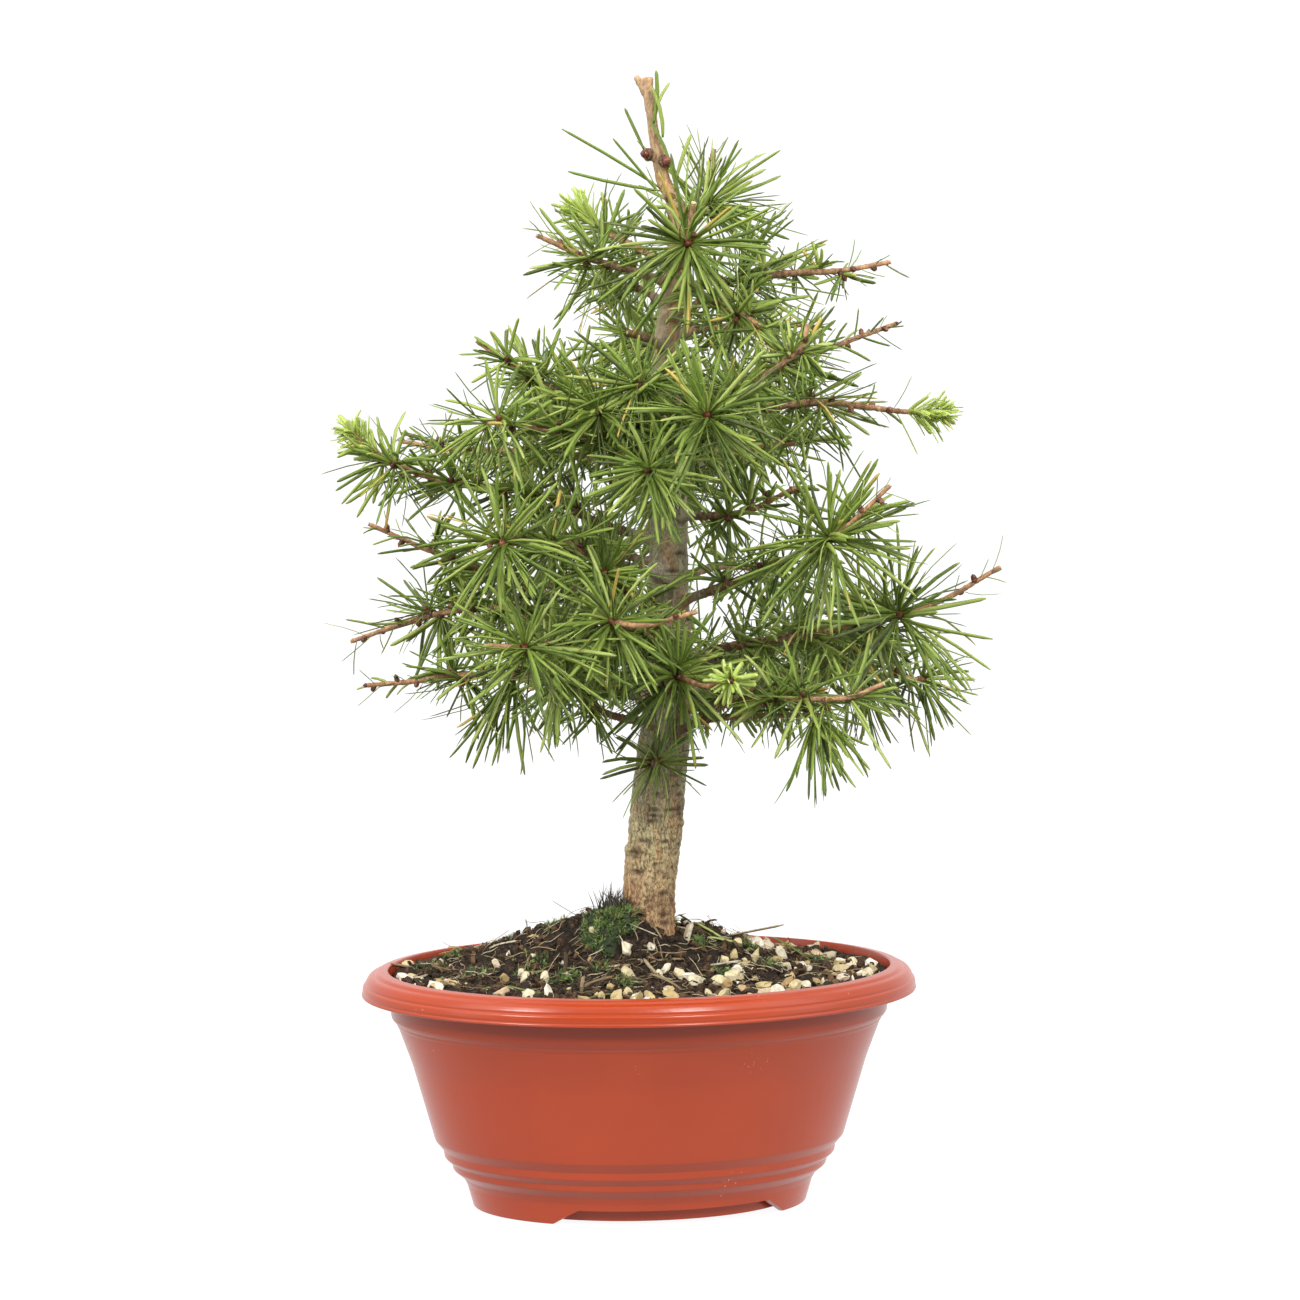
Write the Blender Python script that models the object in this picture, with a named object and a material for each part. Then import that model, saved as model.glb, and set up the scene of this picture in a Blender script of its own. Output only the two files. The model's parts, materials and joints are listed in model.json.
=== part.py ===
"""A young larch bonsai in its oval plastic pot.

The pot's long side lies along X and the ground is at z = 0. The tree's front is
turned by FRONT_TURN from the pot's front, and every place on the tree is given as
(right, back, up) in millimetres from the pot's centre, as seen from that front.
"""

import math
import random

import bmesh
import bpy
import numpy as np
from mathutils import Matrix, Vector
from mathutils.bvhtree import BVHTree

MM = 0.001
GAP = 0.3 * MM
FRONT_TURN = math.radians(17.0)
POT_CENTRE = Vector((-6.5 * MM, 3.0 * MM, 0.0))

# Pot, an oval whose half-lengths are given and whose half-widths follow from the ratio
POT_SIDES = 32
POT_RATIO = 0.81
POT_HEIGHT = 92.0
WALL = 1.8
OPENING_HALF = 98.6
FLOOR_TOP = 9.5
FLOOR_UNDER = 7.5
BASE_RING_OUTER = 60.5
BASE_RING_INNER = 58.0
BASE_RING_LIFT = 1.2
ARCH_HEIGHT = 6.0
ARCH_START = math.radians(-135.0)
ARCH_END = math.radians(-45.0)
ARCH_SLANT = math.radians(10.5)
ARCH_STEPS = 9
DRAIN_RADIUS = 4.5
DRAIN_PLACES = ((30.0, 15.0), (30.0, -15.0), (-30.0, 15.0), (-30.0, -15.0))

# Outer wall, (half-length, height) from the foot up to the rim's underside
OUTER_WALL = (
    (65.4, 0.0),
    (67.9, 8.5),
    (69.8, 11.5),
    (73.2, 14.8),
    (74.1, 17.0),
    (76.4, 19.6),
    (77.5, 22.6),
    (80.3, 25.8),
    (89.2, 56.0),
    (94.6, 70.3),
    (97.2, 74.0),
    (98.8, 85.6),
)
# Rim, a lip that turns out and down from the opening's edge
RIM = (
    (102.0, 86.4),
    (106.7, 82.0),
    (108.9, 82.0),
    (108.2, 86.0),
    (106.0, 89.6),
    (102.4, 91.5),
    (OPENING_HALF, POT_HEIGHT),
)
# Inner wall, from the opening down to the floor's edge
INNER_WALL = (
    (96.9, 85.0),
    (95.4, 74.8),
    (87.4, 56.4),
    (78.4, 26.6),
    (67.2, 14.2),
    (66.0, FLOOR_TOP),
)

# Soil, a mound whose top follows soil_height
SOIL_EDGE_HEIGHT = 88.6
SOIL_CLEARANCE = 0.45
SOIL_RING_BIAS = 0.85
MOUND_PLACE = (0.0, 6.0)
MOUND_HEIGHT = 16.5
MOUND_SPREAD = (32.0, 27.0)
KNOLL_PLACE = (-15.0, 6.0)
KNOLL_HEIGHT = 6.5
KNOLL_SPREAD = 13.0
RIPPLE_HEIGHT = 0.8
RIPPLE_TURNS = (0.19, 0.23)
SOIL_TOP_RINGS = 5
HOLE_RADIUS = 12.8
HOLE_FLOOR = 59.6
STONE_COUNT = 26
STONE_SIZES = (3.8, 6.7)
STONE_CORNERS = (0.75, 1.15)
STONE_BAND = (0.26, 0.6)
STONE_LIFT = 0.1
STONE_TO_TRUNK = 6.0
STONE_TO_MOSS = 5.0
STONE_SEED = 5

# Moss cushion beside the trunk
MOSS_PLACE = (-11.5, -11.0)
MOSS_RADIUS = 12.5
MOSS_HEIGHT = 6.0
MOSS_EDGE = 1.2
MOSS_SEAT = 0.6
MOSS_TO_TRUNK = 0.8
MOSS_WAVE = 0.08
MOSS_LUMPS = 0.16
MOSS_SIDES = 14
MOSS_RINGS = 3

# Trunk, (right, up, radius) along its centre line
TRUNK_SIDES = 12
TRUNK = (
    (3.0, 60.0, 11.6),
    (3.0, 88.0, 12.4),
    (3.0, 99.0, 11.3),
    (3.0, 110.0, 10.3),
    (4.0, 128.0, 10.2),
    (5.5, 142.0, 10.4),
    (8.0, 168.0, 10.0),
    (10.0, 188.0, 9.3),
    (11.0, 212.0, 8.5),
    (11.0, 240.0, 7.7),
    (11.0, 266.0, 7.0),
    (11.0, 292.0, 6.3),
    (10.0, 316.0, 5.5),
    (10.0, 333.0, 4.9),
    (12.5, 349.0, 4.4),
    (14.2, 368.0, 3.9),
    (13.5, 385.0, 3.5),
    (9.0, 395.0, 2.9),
    (6.0, 409.0, 2.6),
    (4.2, 421.0, 2.5),
    (3.0, 434.0, 2.4),
)
# Knots and buds on the trunk, (right, back, up, radius)
KNOTS = (
    (-3.6, -4.6, 138.0, 2.6),
    (14.4, -3.0, 148.0, 2.6),
    (3.2, -1.6, 404.0, 2.0),
    (9.6, -1.6, 401.0, 2.0),
    (14.0, -3.2, 386.0, 2.6),
)
TOP_STUB = ((3.4, 0.0, 425.0), (-1.6, 0.0, 434.5))
TOP_STUB_RADIUS = 1.2

LIMB_SIDES = 5
LIMB_ROOT_RADIUS = 2.1
LIMB_TIP_RADIUS = 1.1
SHORT_LIMB = 60.0
WOOD_REACH = 18.0
BEND_MARGIN = 4.0
BEND_TO_START = 1.0
BEND_TO_END = 3.0
TWIG_END = 2.4

# Needles are three-sided blades at their true size
NEEDLE_RADIUS = 0.8
NEEDLE_TIP_RADIUS = 0.5
NEEDLE_CLEARANCE = 0.35
NEEDLE_ROOT = 0.45
NEEDLE_FREE = 3.2
NEEDLE_TRIES = 60
NEEDLE_LENGTHS = (0.88, 1.1)
# Angles in degrees from the twig: at a spur's inner end, and what is added to its outer end
SIDE_SPUR_TILT = (40.0, 60.0)
END_SPUR_TILT = (18.0, 72.0)
# Play in tilt and turn on the first try, and what later tries add
TILT_PLAY = (8.0, 26.0)
TURN_PLAY = (0.15, 0.6)
LENGTH_LOSS = 0.25
WIDEST_TRY = 20.0
SPUR_START = 0.4
GOLDEN_ANGLE = math.pi * (3.0 - math.sqrt(5.0))
SPUR_STRETCH = 4.4
NEEDLE_SEED = 11

# Limbs: name, height on the trunk, then each spur along the limb as
# (right, back, up, needles, needle length)
LIMBS = (
    ("left_long", 256, (
        (-15, -8, 264, 0, 0), (-40, -18, 277, 5, 24), (-73, -25, 279, 7, 25),
        (-100, -30, 289, 5, 22), (-107, -30, 297, 7, 14),
    )),
    ("left_high", 280, (
        (-15, 12, 287, 2, 25), (-46, 26, 290, 5, 26), (-77, 32, 291, 5, 25), (-91, 35, 293, 3, 16),
    )),
    ("left_upper", 303, (
        (-11, -12, 308, 0, 0), (-34, -22, 317, 5, 26), (-51, -26, 327, 5, 25),
        (-60, -28, 333, 3, 12),
    )),
    ("left_front_upper", 293, (
        (-7, -30, 298, 2, 25), (-30, -55, 303, 5, 25), (-50, -66, 311, 5, 24),
    )),
    ("left_front_mid", 243, (
        (-11, -36, 252, 2, 25), (-33, -68, 261, 5, 26), (-51, -84, 264, 9, 26),
        (-63, -90, 267, 3, 22),
    )),
    ("left_mid", 232, (
        (-19, 16, 235, 2, 25), (-54, 22, 239, 5, 25), (-81, 25, 246, 5, 25), (-103, 25, 260, 2, 10),
    )),
    ("left_low", 216, (
        (-19, 10, 226, 2, 25), (-54, 16, 229, 5, 26), (-81, 20, 226, 5, 26), (-110, 24, 216, 2, 9),
    )),
    ("left_lowest", 195, (
        (-19, -12, 199, 2, 25), (-53, -25, 201, 8, 29), (-85, -32, 204, 5, 24),
        (-102, -35, 205, 5, 12),
    )),
    ("front_left_low", 208, (
        (-7, -40, 215, 2, 25), (-28, -80, 222, 5, 26), (-42, -96, 226, 9, 26),
        (-55, -100, 227, 3, 22),
    )),
    ("front_low", 216, (
        (4, -45, 226, 2, 25), (-10, -84, 234, 7, 25), (2, -95, 234, 3, 22), (19, -100, 239, 3, 15),
    )),
    ("front_lowest", 197, (
        (11, -35, 204, 2, 25), (14, -60, 211, 4, 25), (24, -74, 209, 5, 25), (34, -84, 212, 5, 15),
    )),
    ("right_lowest_back", 195, (
        (38, 8, 201, 2, 25), (65, 10, 206, 5, 26), (86, 4, 215, 5, 25), (90, 0, 228, 5, 25),
    )),
    ("right_mid_front", 232, (
        (32, -18, 241, 2, 25), (54, -42, 253, 5, 25), (71, -60, 265, 9, 27), (92, -66, 283, 2, 10),
    )),
    ("right_low", 210, (
        (38, -5, 217, 2, 25), (72, -12, 223, 5, 25), (97, -18, 226, 8, 26), (116, -22, 235, 4, 23),
        (135, -26, 247, 2, 14),
    )),
    ("right_front_low", 188, (
        (30, -36, 191, 2, 26), (54, -66, 197, 9, 28), (77, -78, 205, 5, 26), (89, -82, 210, 4, 22),
    )),
    ("right_front_drooping", 180, (
        (28, -34, 184, 2, 26), (60, -62, 184, 8, 29),
    )),
    ("right_lowest", 180, (
        (46, 28, 190, 2, 25), (85, 42, 195, 5, 26), (115, 46, 195, 7, 26),
    )),
    ("right_upper", 308, (
        (32, 12, 315, 2, 25), (57, 18, 326, 5, 24), (80, 22, 332, 4, 18), (97, 24, 338, 4, 12),
    )),
    ("right_front_upper", 300, (
        (21, -34, 305, 2, 25), (39, -60, 319, 5, 25), (59, -70, 334, 5, 22), (62, -70, 342, 3, 15),
    )),
    ("right_tip", 295, (
        (38, -8, 305, 2, 25), (68, -14, 311, 5, 25), (100, -20, 307, 3, 20), (119, -24, 310, 7, 11),
    )),
    ("right_mid", 283, (
        (38, 14, 289, 2, 25), (65, 22, 290, 5, 26), (84, 26, 284, 5, 25),
    )),
    ("right_inner", 266, (
        (27, -18, 272, 2, 25), (45, -36, 275, 5, 25), (60, -46, 279, 5, 25),
    )),
    ("top_left", 355, (
        (0, -10, 360, 0, 24), (-19, -18, 367, 5, 24), (-37, -22, 374, 3, 14),
    )),
    ("top_left_back", 361, (
        (0, 16, 367, 2, 24), (-15, 24, 375, 5, 24), (-23, 26, 388, 7, 13),
    )),
    ("top_right", 351, (
        (34, -6, 356, 2, 25), (61, -10, 359, 4, 22), (91, -14, 363, 2, 12),
    )),
    ("top_front", 363, (
        (16, -18, 367, 2, 24), (18, -30, 372, 9, 26), (20, -38, 386, 0, 0),
    )),
    ("top_short", 371, (
        (21, 8, 381, 0, 25), (25, 12, 390, 5, 25), (28, 12, 404, 4, 12),
    )),
    ("upper_left_small", 331, (
        (4, -16, 335, 0, 22), (-3, -28, 338, 8, 24),
    )),
    ("upper_front_right", 343, (
        (23, -22, 349, 2, 24), (37, -42, 349, 5, 24), (48, -54, 345, 5, 24),
    )),
    ("upper_left_back", 346, (
        (0, 24, 350, 2, 24), (-15, 40, 350, 5, 24), (-29, 50, 348, 5, 24),
    )),
    ("upper_right_back", 335, (
        (27, 28, 337, 2, 24), (46, 48, 338, 5, 24), (67, 62, 338, 5, 24),
    )),
    ("upper_back", 324, (
        (8, 40, 327, 4, 25), (0, 70, 329, 8, 25),
    )),
    ("mid_front_left", 301, (
        (0, -32, 304, 4, 25), (-15, -58, 310, 7, 25),
    )),
    ("mid_front_centre", 314, (
        (5, -30, 319, 3, 24), (0, -58, 321, 7, 25),
    )),
    ("mid_front_right", 291, (
        (19, -44, 298, 4, 25), (25, -78, 310, 9, 26),
    )),
    ("mid_front_low", 276, (
        (8, -42, 283, 4, 25), (4, -80, 291, 8, 26),
    )),
    ("mid_left_back", 289, (
        (-4, 48, 291, 4, 25), (-22, 84, 294, 8, 26),
    )),
    ("mid_right_back", 287, (
        (27, 50, 288, 4, 25), (45, 86, 290, 8, 26),
    )),
    ("mid_back", 270, (
        (9, 52, 273, 4, 25), (13, 98, 273, 8, 26),
    )),
    ("low_left_back", 247, (
        (-10, 52, 247, 4, 25), (-32, 94, 248, 8, 26),
    )),
    ("low_right_back", 241, (
        (33, 52, 242, 4, 25), (55, 96, 241, 8, 26),
    )),
    ("low_front_inner", 224, (
        (0, -34, 239, 4, 25), (-13, -62, 250, 7, 25),
    )),
    ("lowest_left_back", 211, (
        (-12, 55, 209, 4, 25), (-36, 98, 208, 8, 26),
    )),
    ("lowest_right_back", 208, (
        (37, 54, 207, 4, 25), (63, 96, 204, 8, 26),
    )),
    ("lowest_back", 200, (
        (11, 60, 198, 4, 25), (9, 110, 196, 8, 26),
    )),
    ("small_front_left", 186, (
        (-12, -36, 192, 4, 26), (-28, -68, 207, 7, 26),
    )),
    ("trunk_spur", 169, (
        (6, -18, 173, 6, 22),
    )),
)
# The lone spur on the trunk leaves it sooner than a limb does
TRUNK_SPUR_REACH = 12.0


def clear_scene():
    """Remove whatever the file opened with."""
    for thing in list(bpy.data.objects):
        bpy.data.objects.remove(thing, do_unlink=True)


def placed(right, back, up):
    """Turn a place seen from the tree's front, in mm, into the part's own frame."""
    return Matrix.Rotation(-FRONT_TURN, 3, "Z") @ Vector((right, back, up)) * MM + POT_CENTRE


def make_material(name, colour, roughness):
    """A plain finish without metal."""
    material = bpy.data.materials.new(name)
    material.use_nodes = True
    shader = material.node_tree.nodes["Principled BSDF"]
    shader.inputs["Base Color"].default_value = (*colour, 1.0)
    shader.inputs["Roughness"].default_value = roughness
    shader.inputs["Metallic"].default_value = 0.0
    return material


def loft_mesh(rings, slot=0):
    """Skin a list of rings, each a list of points, and close both ends."""
    bm = bmesh.new()
    loops = [[bm.verts.new(point) for point in ring] for ring in rings]
    for lower, upper in zip(loops, loops[1:]):
        for i in range(len(lower)):
            j = (i + 1) % len(lower)
            bm.faces.new((lower[i], lower[j], upper[j], upper[i]))
    bm.faces.new(loops[0][::-1])
    bm.faces.new(loops[-1])
    bmesh.ops.recalc_face_normals(bm, faces=bm.faces[:])
    for face in bm.faces:
        face.material_index = slot
    mesh = bpy.data.meshes.new("loft")
    bm.to_mesh(mesh)
    bm.free()
    return mesh


def add_object(name, mesh, materials, sharp_degrees=40.0):
    """Put a mesh in the scene as a named, smoothly shaded sub-part."""
    mesh.name = name
    for material in materials:
        mesh.materials.append(material)
    mesh.shade_smooth()
    mesh.set_sharp_from_angle(angle=math.radians(sharp_degrees))
    thing = bpy.data.objects.new(name, mesh)
    bpy.context.scene.collection.objects.link(thing)
    return thing


def apply_boolean(target, operation, tools, solver="EXACT"):
    """Join or cut a sub-part with a group of others, then remove them."""
    group = bpy.data.collections.new(target.name + "_tools")
    bpy.context.scene.collection.children.link(group)
    for tool in tools:
        for holder in tool.users_collection:
            holder.objects.unlink(tool)
        group.objects.link(tool)
        tool.hide_render = True
        tool.display_type = "WIRE"
    modifier = target.modifiers.new(operation.lower(), "BOOLEAN")
    modifier.operation = operation
    modifier.operand_type = "COLLECTION"
    modifier.collection = group
    modifier.solver = solver
    with bpy.context.temp_override(object=target, active_object=target):
        bpy.ops.object.modifier_apply(modifier=modifier.name)
    for tool in list(group.objects):
        bpy.data.objects.remove(tool, do_unlink=True)
    bpy.data.collections.remove(group)


def tube_rings(points, radii, sides):
    """Rings square to a route, each carried on from the one before without twist."""
    tangents = []
    for i in range(len(points)):
        ahead = points[min(i + 1, len(points) - 1)]
        behind = points[max(i - 1, 0)]
        tangents.append((ahead - behind).normalized())
    across = tangents[0].orthogonal().normalized()
    rings = []
    for point, tangent, radius in zip(points, tangents, radii):
        across = (across - tangent * across.dot(tangent)).normalized()
        other = tangent.cross(across)
        ring = []
        for k in range(sides):
            angle = 2.0 * math.pi * k / sides
            ring.append(point + (across * math.cos(angle) + other * math.sin(angle)) * radius)
        rings.append(ring)
    return rings


def oval_ring(half_length, height, sides=POT_SIDES):
    """One oval ring of the pot, given in mm."""
    ring = []
    for k in range(sides):
        angle = 2.0 * math.pi * k / sides
        x = half_length * math.cos(angle)
        y = half_length * POT_RATIO * math.sin(angle)
        ring.append(Vector((x, y, height)) * MM + POT_CENTRE)
    return ring


def arch_cutter(middle_turn):
    """A curved wedge with slanted ends that opens the skirt between two feet."""
    half_lengths = (
        0.5 * (BASE_RING_OUTER + OUTER_WALL[0][0] - WALL),
        OUTER_WALL[0][0] + 4.0,
    )
    rings = []
    for step in range(ARCH_STEPS + 1):
        share = step / ARCH_STEPS
        ring = []
        for height, slant in ((-1.0, -ARCH_SLANT / ARCH_HEIGHT), (ARCH_HEIGHT, ARCH_SLANT)):
            start = ARCH_START + slant
            end = ARCH_END - slant
            angle = start + (end - start) * share + middle_turn
            corner = []
            for half in half_lengths:
                x = half * math.cos(angle)
                y = half * POT_RATIO * math.sin(angle)
                corner.append(Vector((x, y, height)) * MM + POT_CENTRE)
            ring.extend(corner if height < 0.0 else corner[::-1])
        rings.append(ring)
    return add_object("arch", loft_mesh(rings), ())


def drain_cutter(right, back):
    """A round hole through the pot's floor."""
    bpy.ops.mesh.primitive_cylinder_add(
        vertices=12,
        radius=DRAIN_RADIUS * MM,
        depth=12.0 * MM,
        location=Vector((right, back, FLOOR_UNDER)) * MM + POT_CENTRE,
    )
    return bpy.context.active_object


def build_pot(plastic):
    """The moulded pot: base ring, skirt, stepped wall, rolled rim and floor."""
    profile = [
        (BASE_RING_INNER, FLOOR_UNDER),
        (BASE_RING_INNER, BASE_RING_LIFT),
        (BASE_RING_OUTER, BASE_RING_LIFT),
        (BASE_RING_OUTER, FLOOR_UNDER),
        (OUTER_WALL[0][0] - WALL, FLOOR_UNDER),
        (OUTER_WALL[0][0] - WALL, 0.0),
        *OUTER_WALL,
        *RIM,
        *INNER_WALL,
    ]
    rings = [oval_ring(half, height) for half, height in profile]
    pot = add_object("pot", loft_mesh(rings), (plastic,), sharp_degrees=30.0)
    cutters = [arch_cutter(0.0), arch_cutter(math.pi)]
    cutters += [drain_cutter(x, y) for x, y in DRAIN_PLACES]
    apply_boolean(pot, "DIFFERENCE", cutters)
    return pot


def soil_height(point):
    """Height of the mound in mm above the ground, under a point of the frame."""
    local = Matrix.Rotation(FRONT_TURN, 3, "Z") @ (point - POT_CENTRE) / MM
    mound_x = (local.x - MOUND_PLACE[0]) / MOUND_SPREAD[0]
    mound_y = (local.y - MOUND_PLACE[1]) / MOUND_SPREAD[1]
    knoll_x = (local.x - KNOLL_PLACE[0]) / KNOLL_SPREAD
    knoll_y = (local.y - KNOLL_PLACE[1]) / KNOLL_SPREAD
    mound = MOUND_HEIGHT * math.exp(-0.5 * (mound_x**2 + mound_y**2))
    knoll = KNOLL_HEIGHT * math.exp(-0.5 * (knoll_x**2 + knoll_y**2))
    ripple = RIPPLE_HEIGHT * math.sin(local.x * RIPPLE_TURNS[0]) * math.cos(local.y * RIPPLE_TURNS[1])
    return SOIL_EDGE_HEIGHT + mound + knoll + ripple


def inner_half_length(height):
    """Half-length of the pot's inner wall at a height, in mm."""
    wall = [(OPENING_HALF, POT_HEIGHT), *INNER_WALL]
    for (upper_half, upper), (lower_half, lower) in zip(wall, wall[1:]):
        if height >= lower:
            share = (height - lower) / (upper - lower)
            return lower_half + (upper_half - lower_half) * share
    return wall[-1][0]


def build_soil(peat):
    """The mound: it fills the pot, has grit bedded in it and a hole for the trunk."""
    foot = placed(TRUNK[0][0], 0.0, 0.0)
    rings = [oval_ring(INNER_WALL[-1][0] - SOIL_CLEARANCE, FLOOR_TOP + GAP / MM)]
    for half, height in INNER_WALL[-2:0:-1]:
        rings.append(oval_ring(half - SOIL_CLEARANCE, height))
    edge = oval_ring(inner_half_length(SOIL_EDGE_HEIGHT) - SOIL_CLEARANCE, SOIL_EDGE_HEIGHT)
    hole = []
    for corner in edge:
        outward = (corner - foot).to_2d().normalized() * HOLE_RADIUS * MM
        hole.append(Vector((foot.x + outward.x, foot.y + outward.y, 0.0)))
    for step in range(SOIL_TOP_RINGS + 1):
        share = (step / SOIL_TOP_RINGS) ** SOIL_RING_BIAS
        ring = []
        for outer, inner in zip(edge, hole):
            point = outer.lerp(inner, share)
            height = soil_height(point) if step else SOIL_EDGE_HEIGHT
            ring.append(Vector((point.x, point.y, height * MM)))
        rings.append(ring)
    rings.append([Vector((point.x, point.y, HOLE_FLOOR * MM)) for point in hole])
    soil = add_object("soil", loft_mesh(rings), (peat,), sharp_degrees=60.0)
    apply_boolean(soil, "UNION", scatter_stones(), "MANIFOLD")
    return soil


def scatter_stones():
    """Rough grit stones, half sunk in the mound and even all round the trunk."""
    draw = random.Random(STONE_SEED)
    foot = placed(TRUNK[0][0], 0.0, 0.0)
    moss = placed(*MOSS_PLACE, 0.0)
    stones = []
    for index in range(STONE_COUNT):
        size = draw.uniform(*STONE_SIZES)
        angle = index * GOLDEN_ANGLE
        share = STONE_BAND[0] + STONE_BAND[1] * math.sqrt((index + 0.5) / STONE_COUNT)
        place = Vector((
            OPENING_HALF * share * math.cos(angle),
            OPENING_HALF * POT_RATIO * share * math.sin(angle),
            0.0,
        )) * MM + POT_CENTRE
        if (place - foot).length < (HOLE_RADIUS + STONE_TO_TRUNK) * MM:
            continue
        if (place - moss).length < (MOSS_RADIUS + STONE_TO_MOSS) * MM:
            continue
        place.z = (soil_height(place) + STONE_LIFT * size) * MM
        turn = [draw.uniform(0.0, math.pi) for _ in range(3)]
        bpy.ops.mesh.primitive_cube_add(size=size * MM, location=place, rotation=turn)
        stone = bpy.context.active_object
        for vertex in stone.data.vertices:
            vertex.co *= draw.uniform(*STONE_CORNERS)
        stones.append(stone)
    return stones


def build_moss(moss_green, soil):
    """A lumpy cushion that lies on the mound and stops just short of the trunk."""
    ground = BVHTree.FromObject(soil, bpy.context.evaluated_depsgraph_get())
    centre = placed(*MOSS_PLACE, 0.0)
    foot = placed(TRUNK[1][0], 0.0, 0.0)
    keep_off = (TRUNK[1][2] + MOSS_TO_TRUNK) * MM
    top_rings = []
    under_rings = []
    for ring_index in range(MOSS_RINGS, 0, -1):
        share = ring_index / MOSS_RINGS
        top = []
        under = []
        for k in range(MOSS_SIDES):
            angle = 2.0 * math.pi * k / MOSS_SIDES
            outward = Vector((math.cos(angle), math.sin(angle), 0.0))
            reach = MOSS_RADIUS * MM * (1.0 + MOSS_WAVE * math.sin(3.0 * angle))
            while ((centre + outward * reach) - foot).length < keep_off:
                reach -= 0.2 * MM
            spot = centre + outward * reach * share
            hit = ground.ray_cast(spot + Vector((0.0, 0.0, 0.2)), Vector((0.0, 0.0, -1.0)))[0]
            lumps = 1.0 + MOSS_LUMPS * math.sin(4.0 * angle + 5.0 * share)
            rise = MOSS_EDGE + MOSS_HEIGHT * math.sqrt(1.0 - share**2) * lumps
            under.append(hit + Vector((0.0, 0.0, MOSS_SEAT * MM)))
            top.append(hit + Vector((0.0, 0.0, (MOSS_SEAT + rise) * MM)))
        top_rings.append(top)
        under_rings.append(under)
    mesh = loft_mesh(under_rings[::-1] + top_rings)
    return add_object("moss", mesh, (moss_green,), sharp_degrees=80.0)


def trunk_point(height):
    """The trunk's centre line at a height, in mm from the pot's centre."""
    for (low_x, low, _), (high_x, high, _) in zip(TRUNK, TRUNK[1:]):
        if height <= high:
            share = (height - low) / (high - low)
            return (low_x + (high_x - low_x) * share, 0.0, height)
    return (TRUNK[-1][0], 0.0, TRUNK[-1][1])


class Limb:
    """The route of one limb, cut into its inner wood and its leafy spray."""

    def __init__(self, name, height, spurs):
        self.name = name
        self.spurs = spurs
        self.points = [placed(*trunk_point(height))]
        self.points += [placed(*spur[:3]) for spur in spurs]
        self.reach = TRUNK_SPUR_REACH if name == "trunk_spur" else WOOD_REACH
        lengths = [(b - a).length for a, b in zip(self.points, self.points[1:])]
        self.stations = [sum(lengths[:i]) / MM for i in range(len(self.points))]
        for station in self.stations[1:]:
            if abs(station - self.reach) < BEND_MARGIN:
                self.reach = station + BEND_MARGIN

    def radius(self, station):
        """Radius in mm at a distance along the limb."""
        share = station / max(self.stations[-1], SHORT_LIMB)
        return LIMB_ROOT_RADIUS + (LIMB_TIP_RADIUS - LIMB_ROOT_RADIUS) * share

    def at(self, station):
        """The point at a distance along the limb, in mm, straight on past its end."""
        i = 0
        while i < len(self.points) - 2 and station > self.stations[i + 1]:
            i += 1
        share = (station - self.stations[i]) / (self.stations[i + 1] - self.stations[i])
        return self.points[i] + (self.points[i + 1] - self.points[i]) * share

    def stretch(self, start, end):
        """Points and radii between two distances along the limb."""
        inner = [s for s in self.stations if start + BEND_TO_START < s < end - BEND_TO_END]
        stations = [start, *inner, end]
        points = [self.at(s) for s in stations]
        return points, [self.radius(s) * MM for s in stations]

    def wood_mesh(self):
        """The inner wood, from the trunk's centre line to the spray."""
        points, radii = self.stretch(0.0, self.reach)
        return loft_mesh(tube_rings(points, radii, LIMB_SIDES))

    def twig_stretch(self):
        """The spray's own twig, which starts a hair beyond the wood."""
        return self.stretch(self.reach + GAP / MM, self.stations[-1] + TWIG_END)

    def tangent(self, index):
        """Direction of the limb at one of its points."""
        ahead = self.points[min(index + 1, len(self.points) - 1)]
        return (ahead - self.points[index - 1]).normalized()


def build_trunk(limbs, bark):
    """Trunk, leader and the inner wood of every limb, grown as one body."""
    points = [placed(right, 0.0, up) for right, up, _ in TRUNK]
    radii = [radius * MM for _, _, radius in TRUNK]
    trunk = add_object("trunk", loft_mesh(tube_rings(points, radii, TRUNK_SIDES)), (bark,), 60.0)
    pieces = [add_object(limb.name, limb.wood_mesh(), ()) for limb in limbs]
    stub = [placed(*place) for place in TOP_STUB]
    stub_radii = [TOP_STUB_RADIUS * MM] * 2
    pieces.append(add_object("stub", loft_mesh(tube_rings(stub, stub_radii, 6)), ()))
    for right, back, up, radius in KNOTS:
        bpy.ops.mesh.primitive_ico_sphere_add(
            subdivisions=1, radius=radius * MM, location=placed(right, back, up)
        )
        pieces.append(bpy.context.active_object)
    apply_boolean(trunk, "UNION", pieces, "MANIFOLD")
    return trunk


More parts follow.
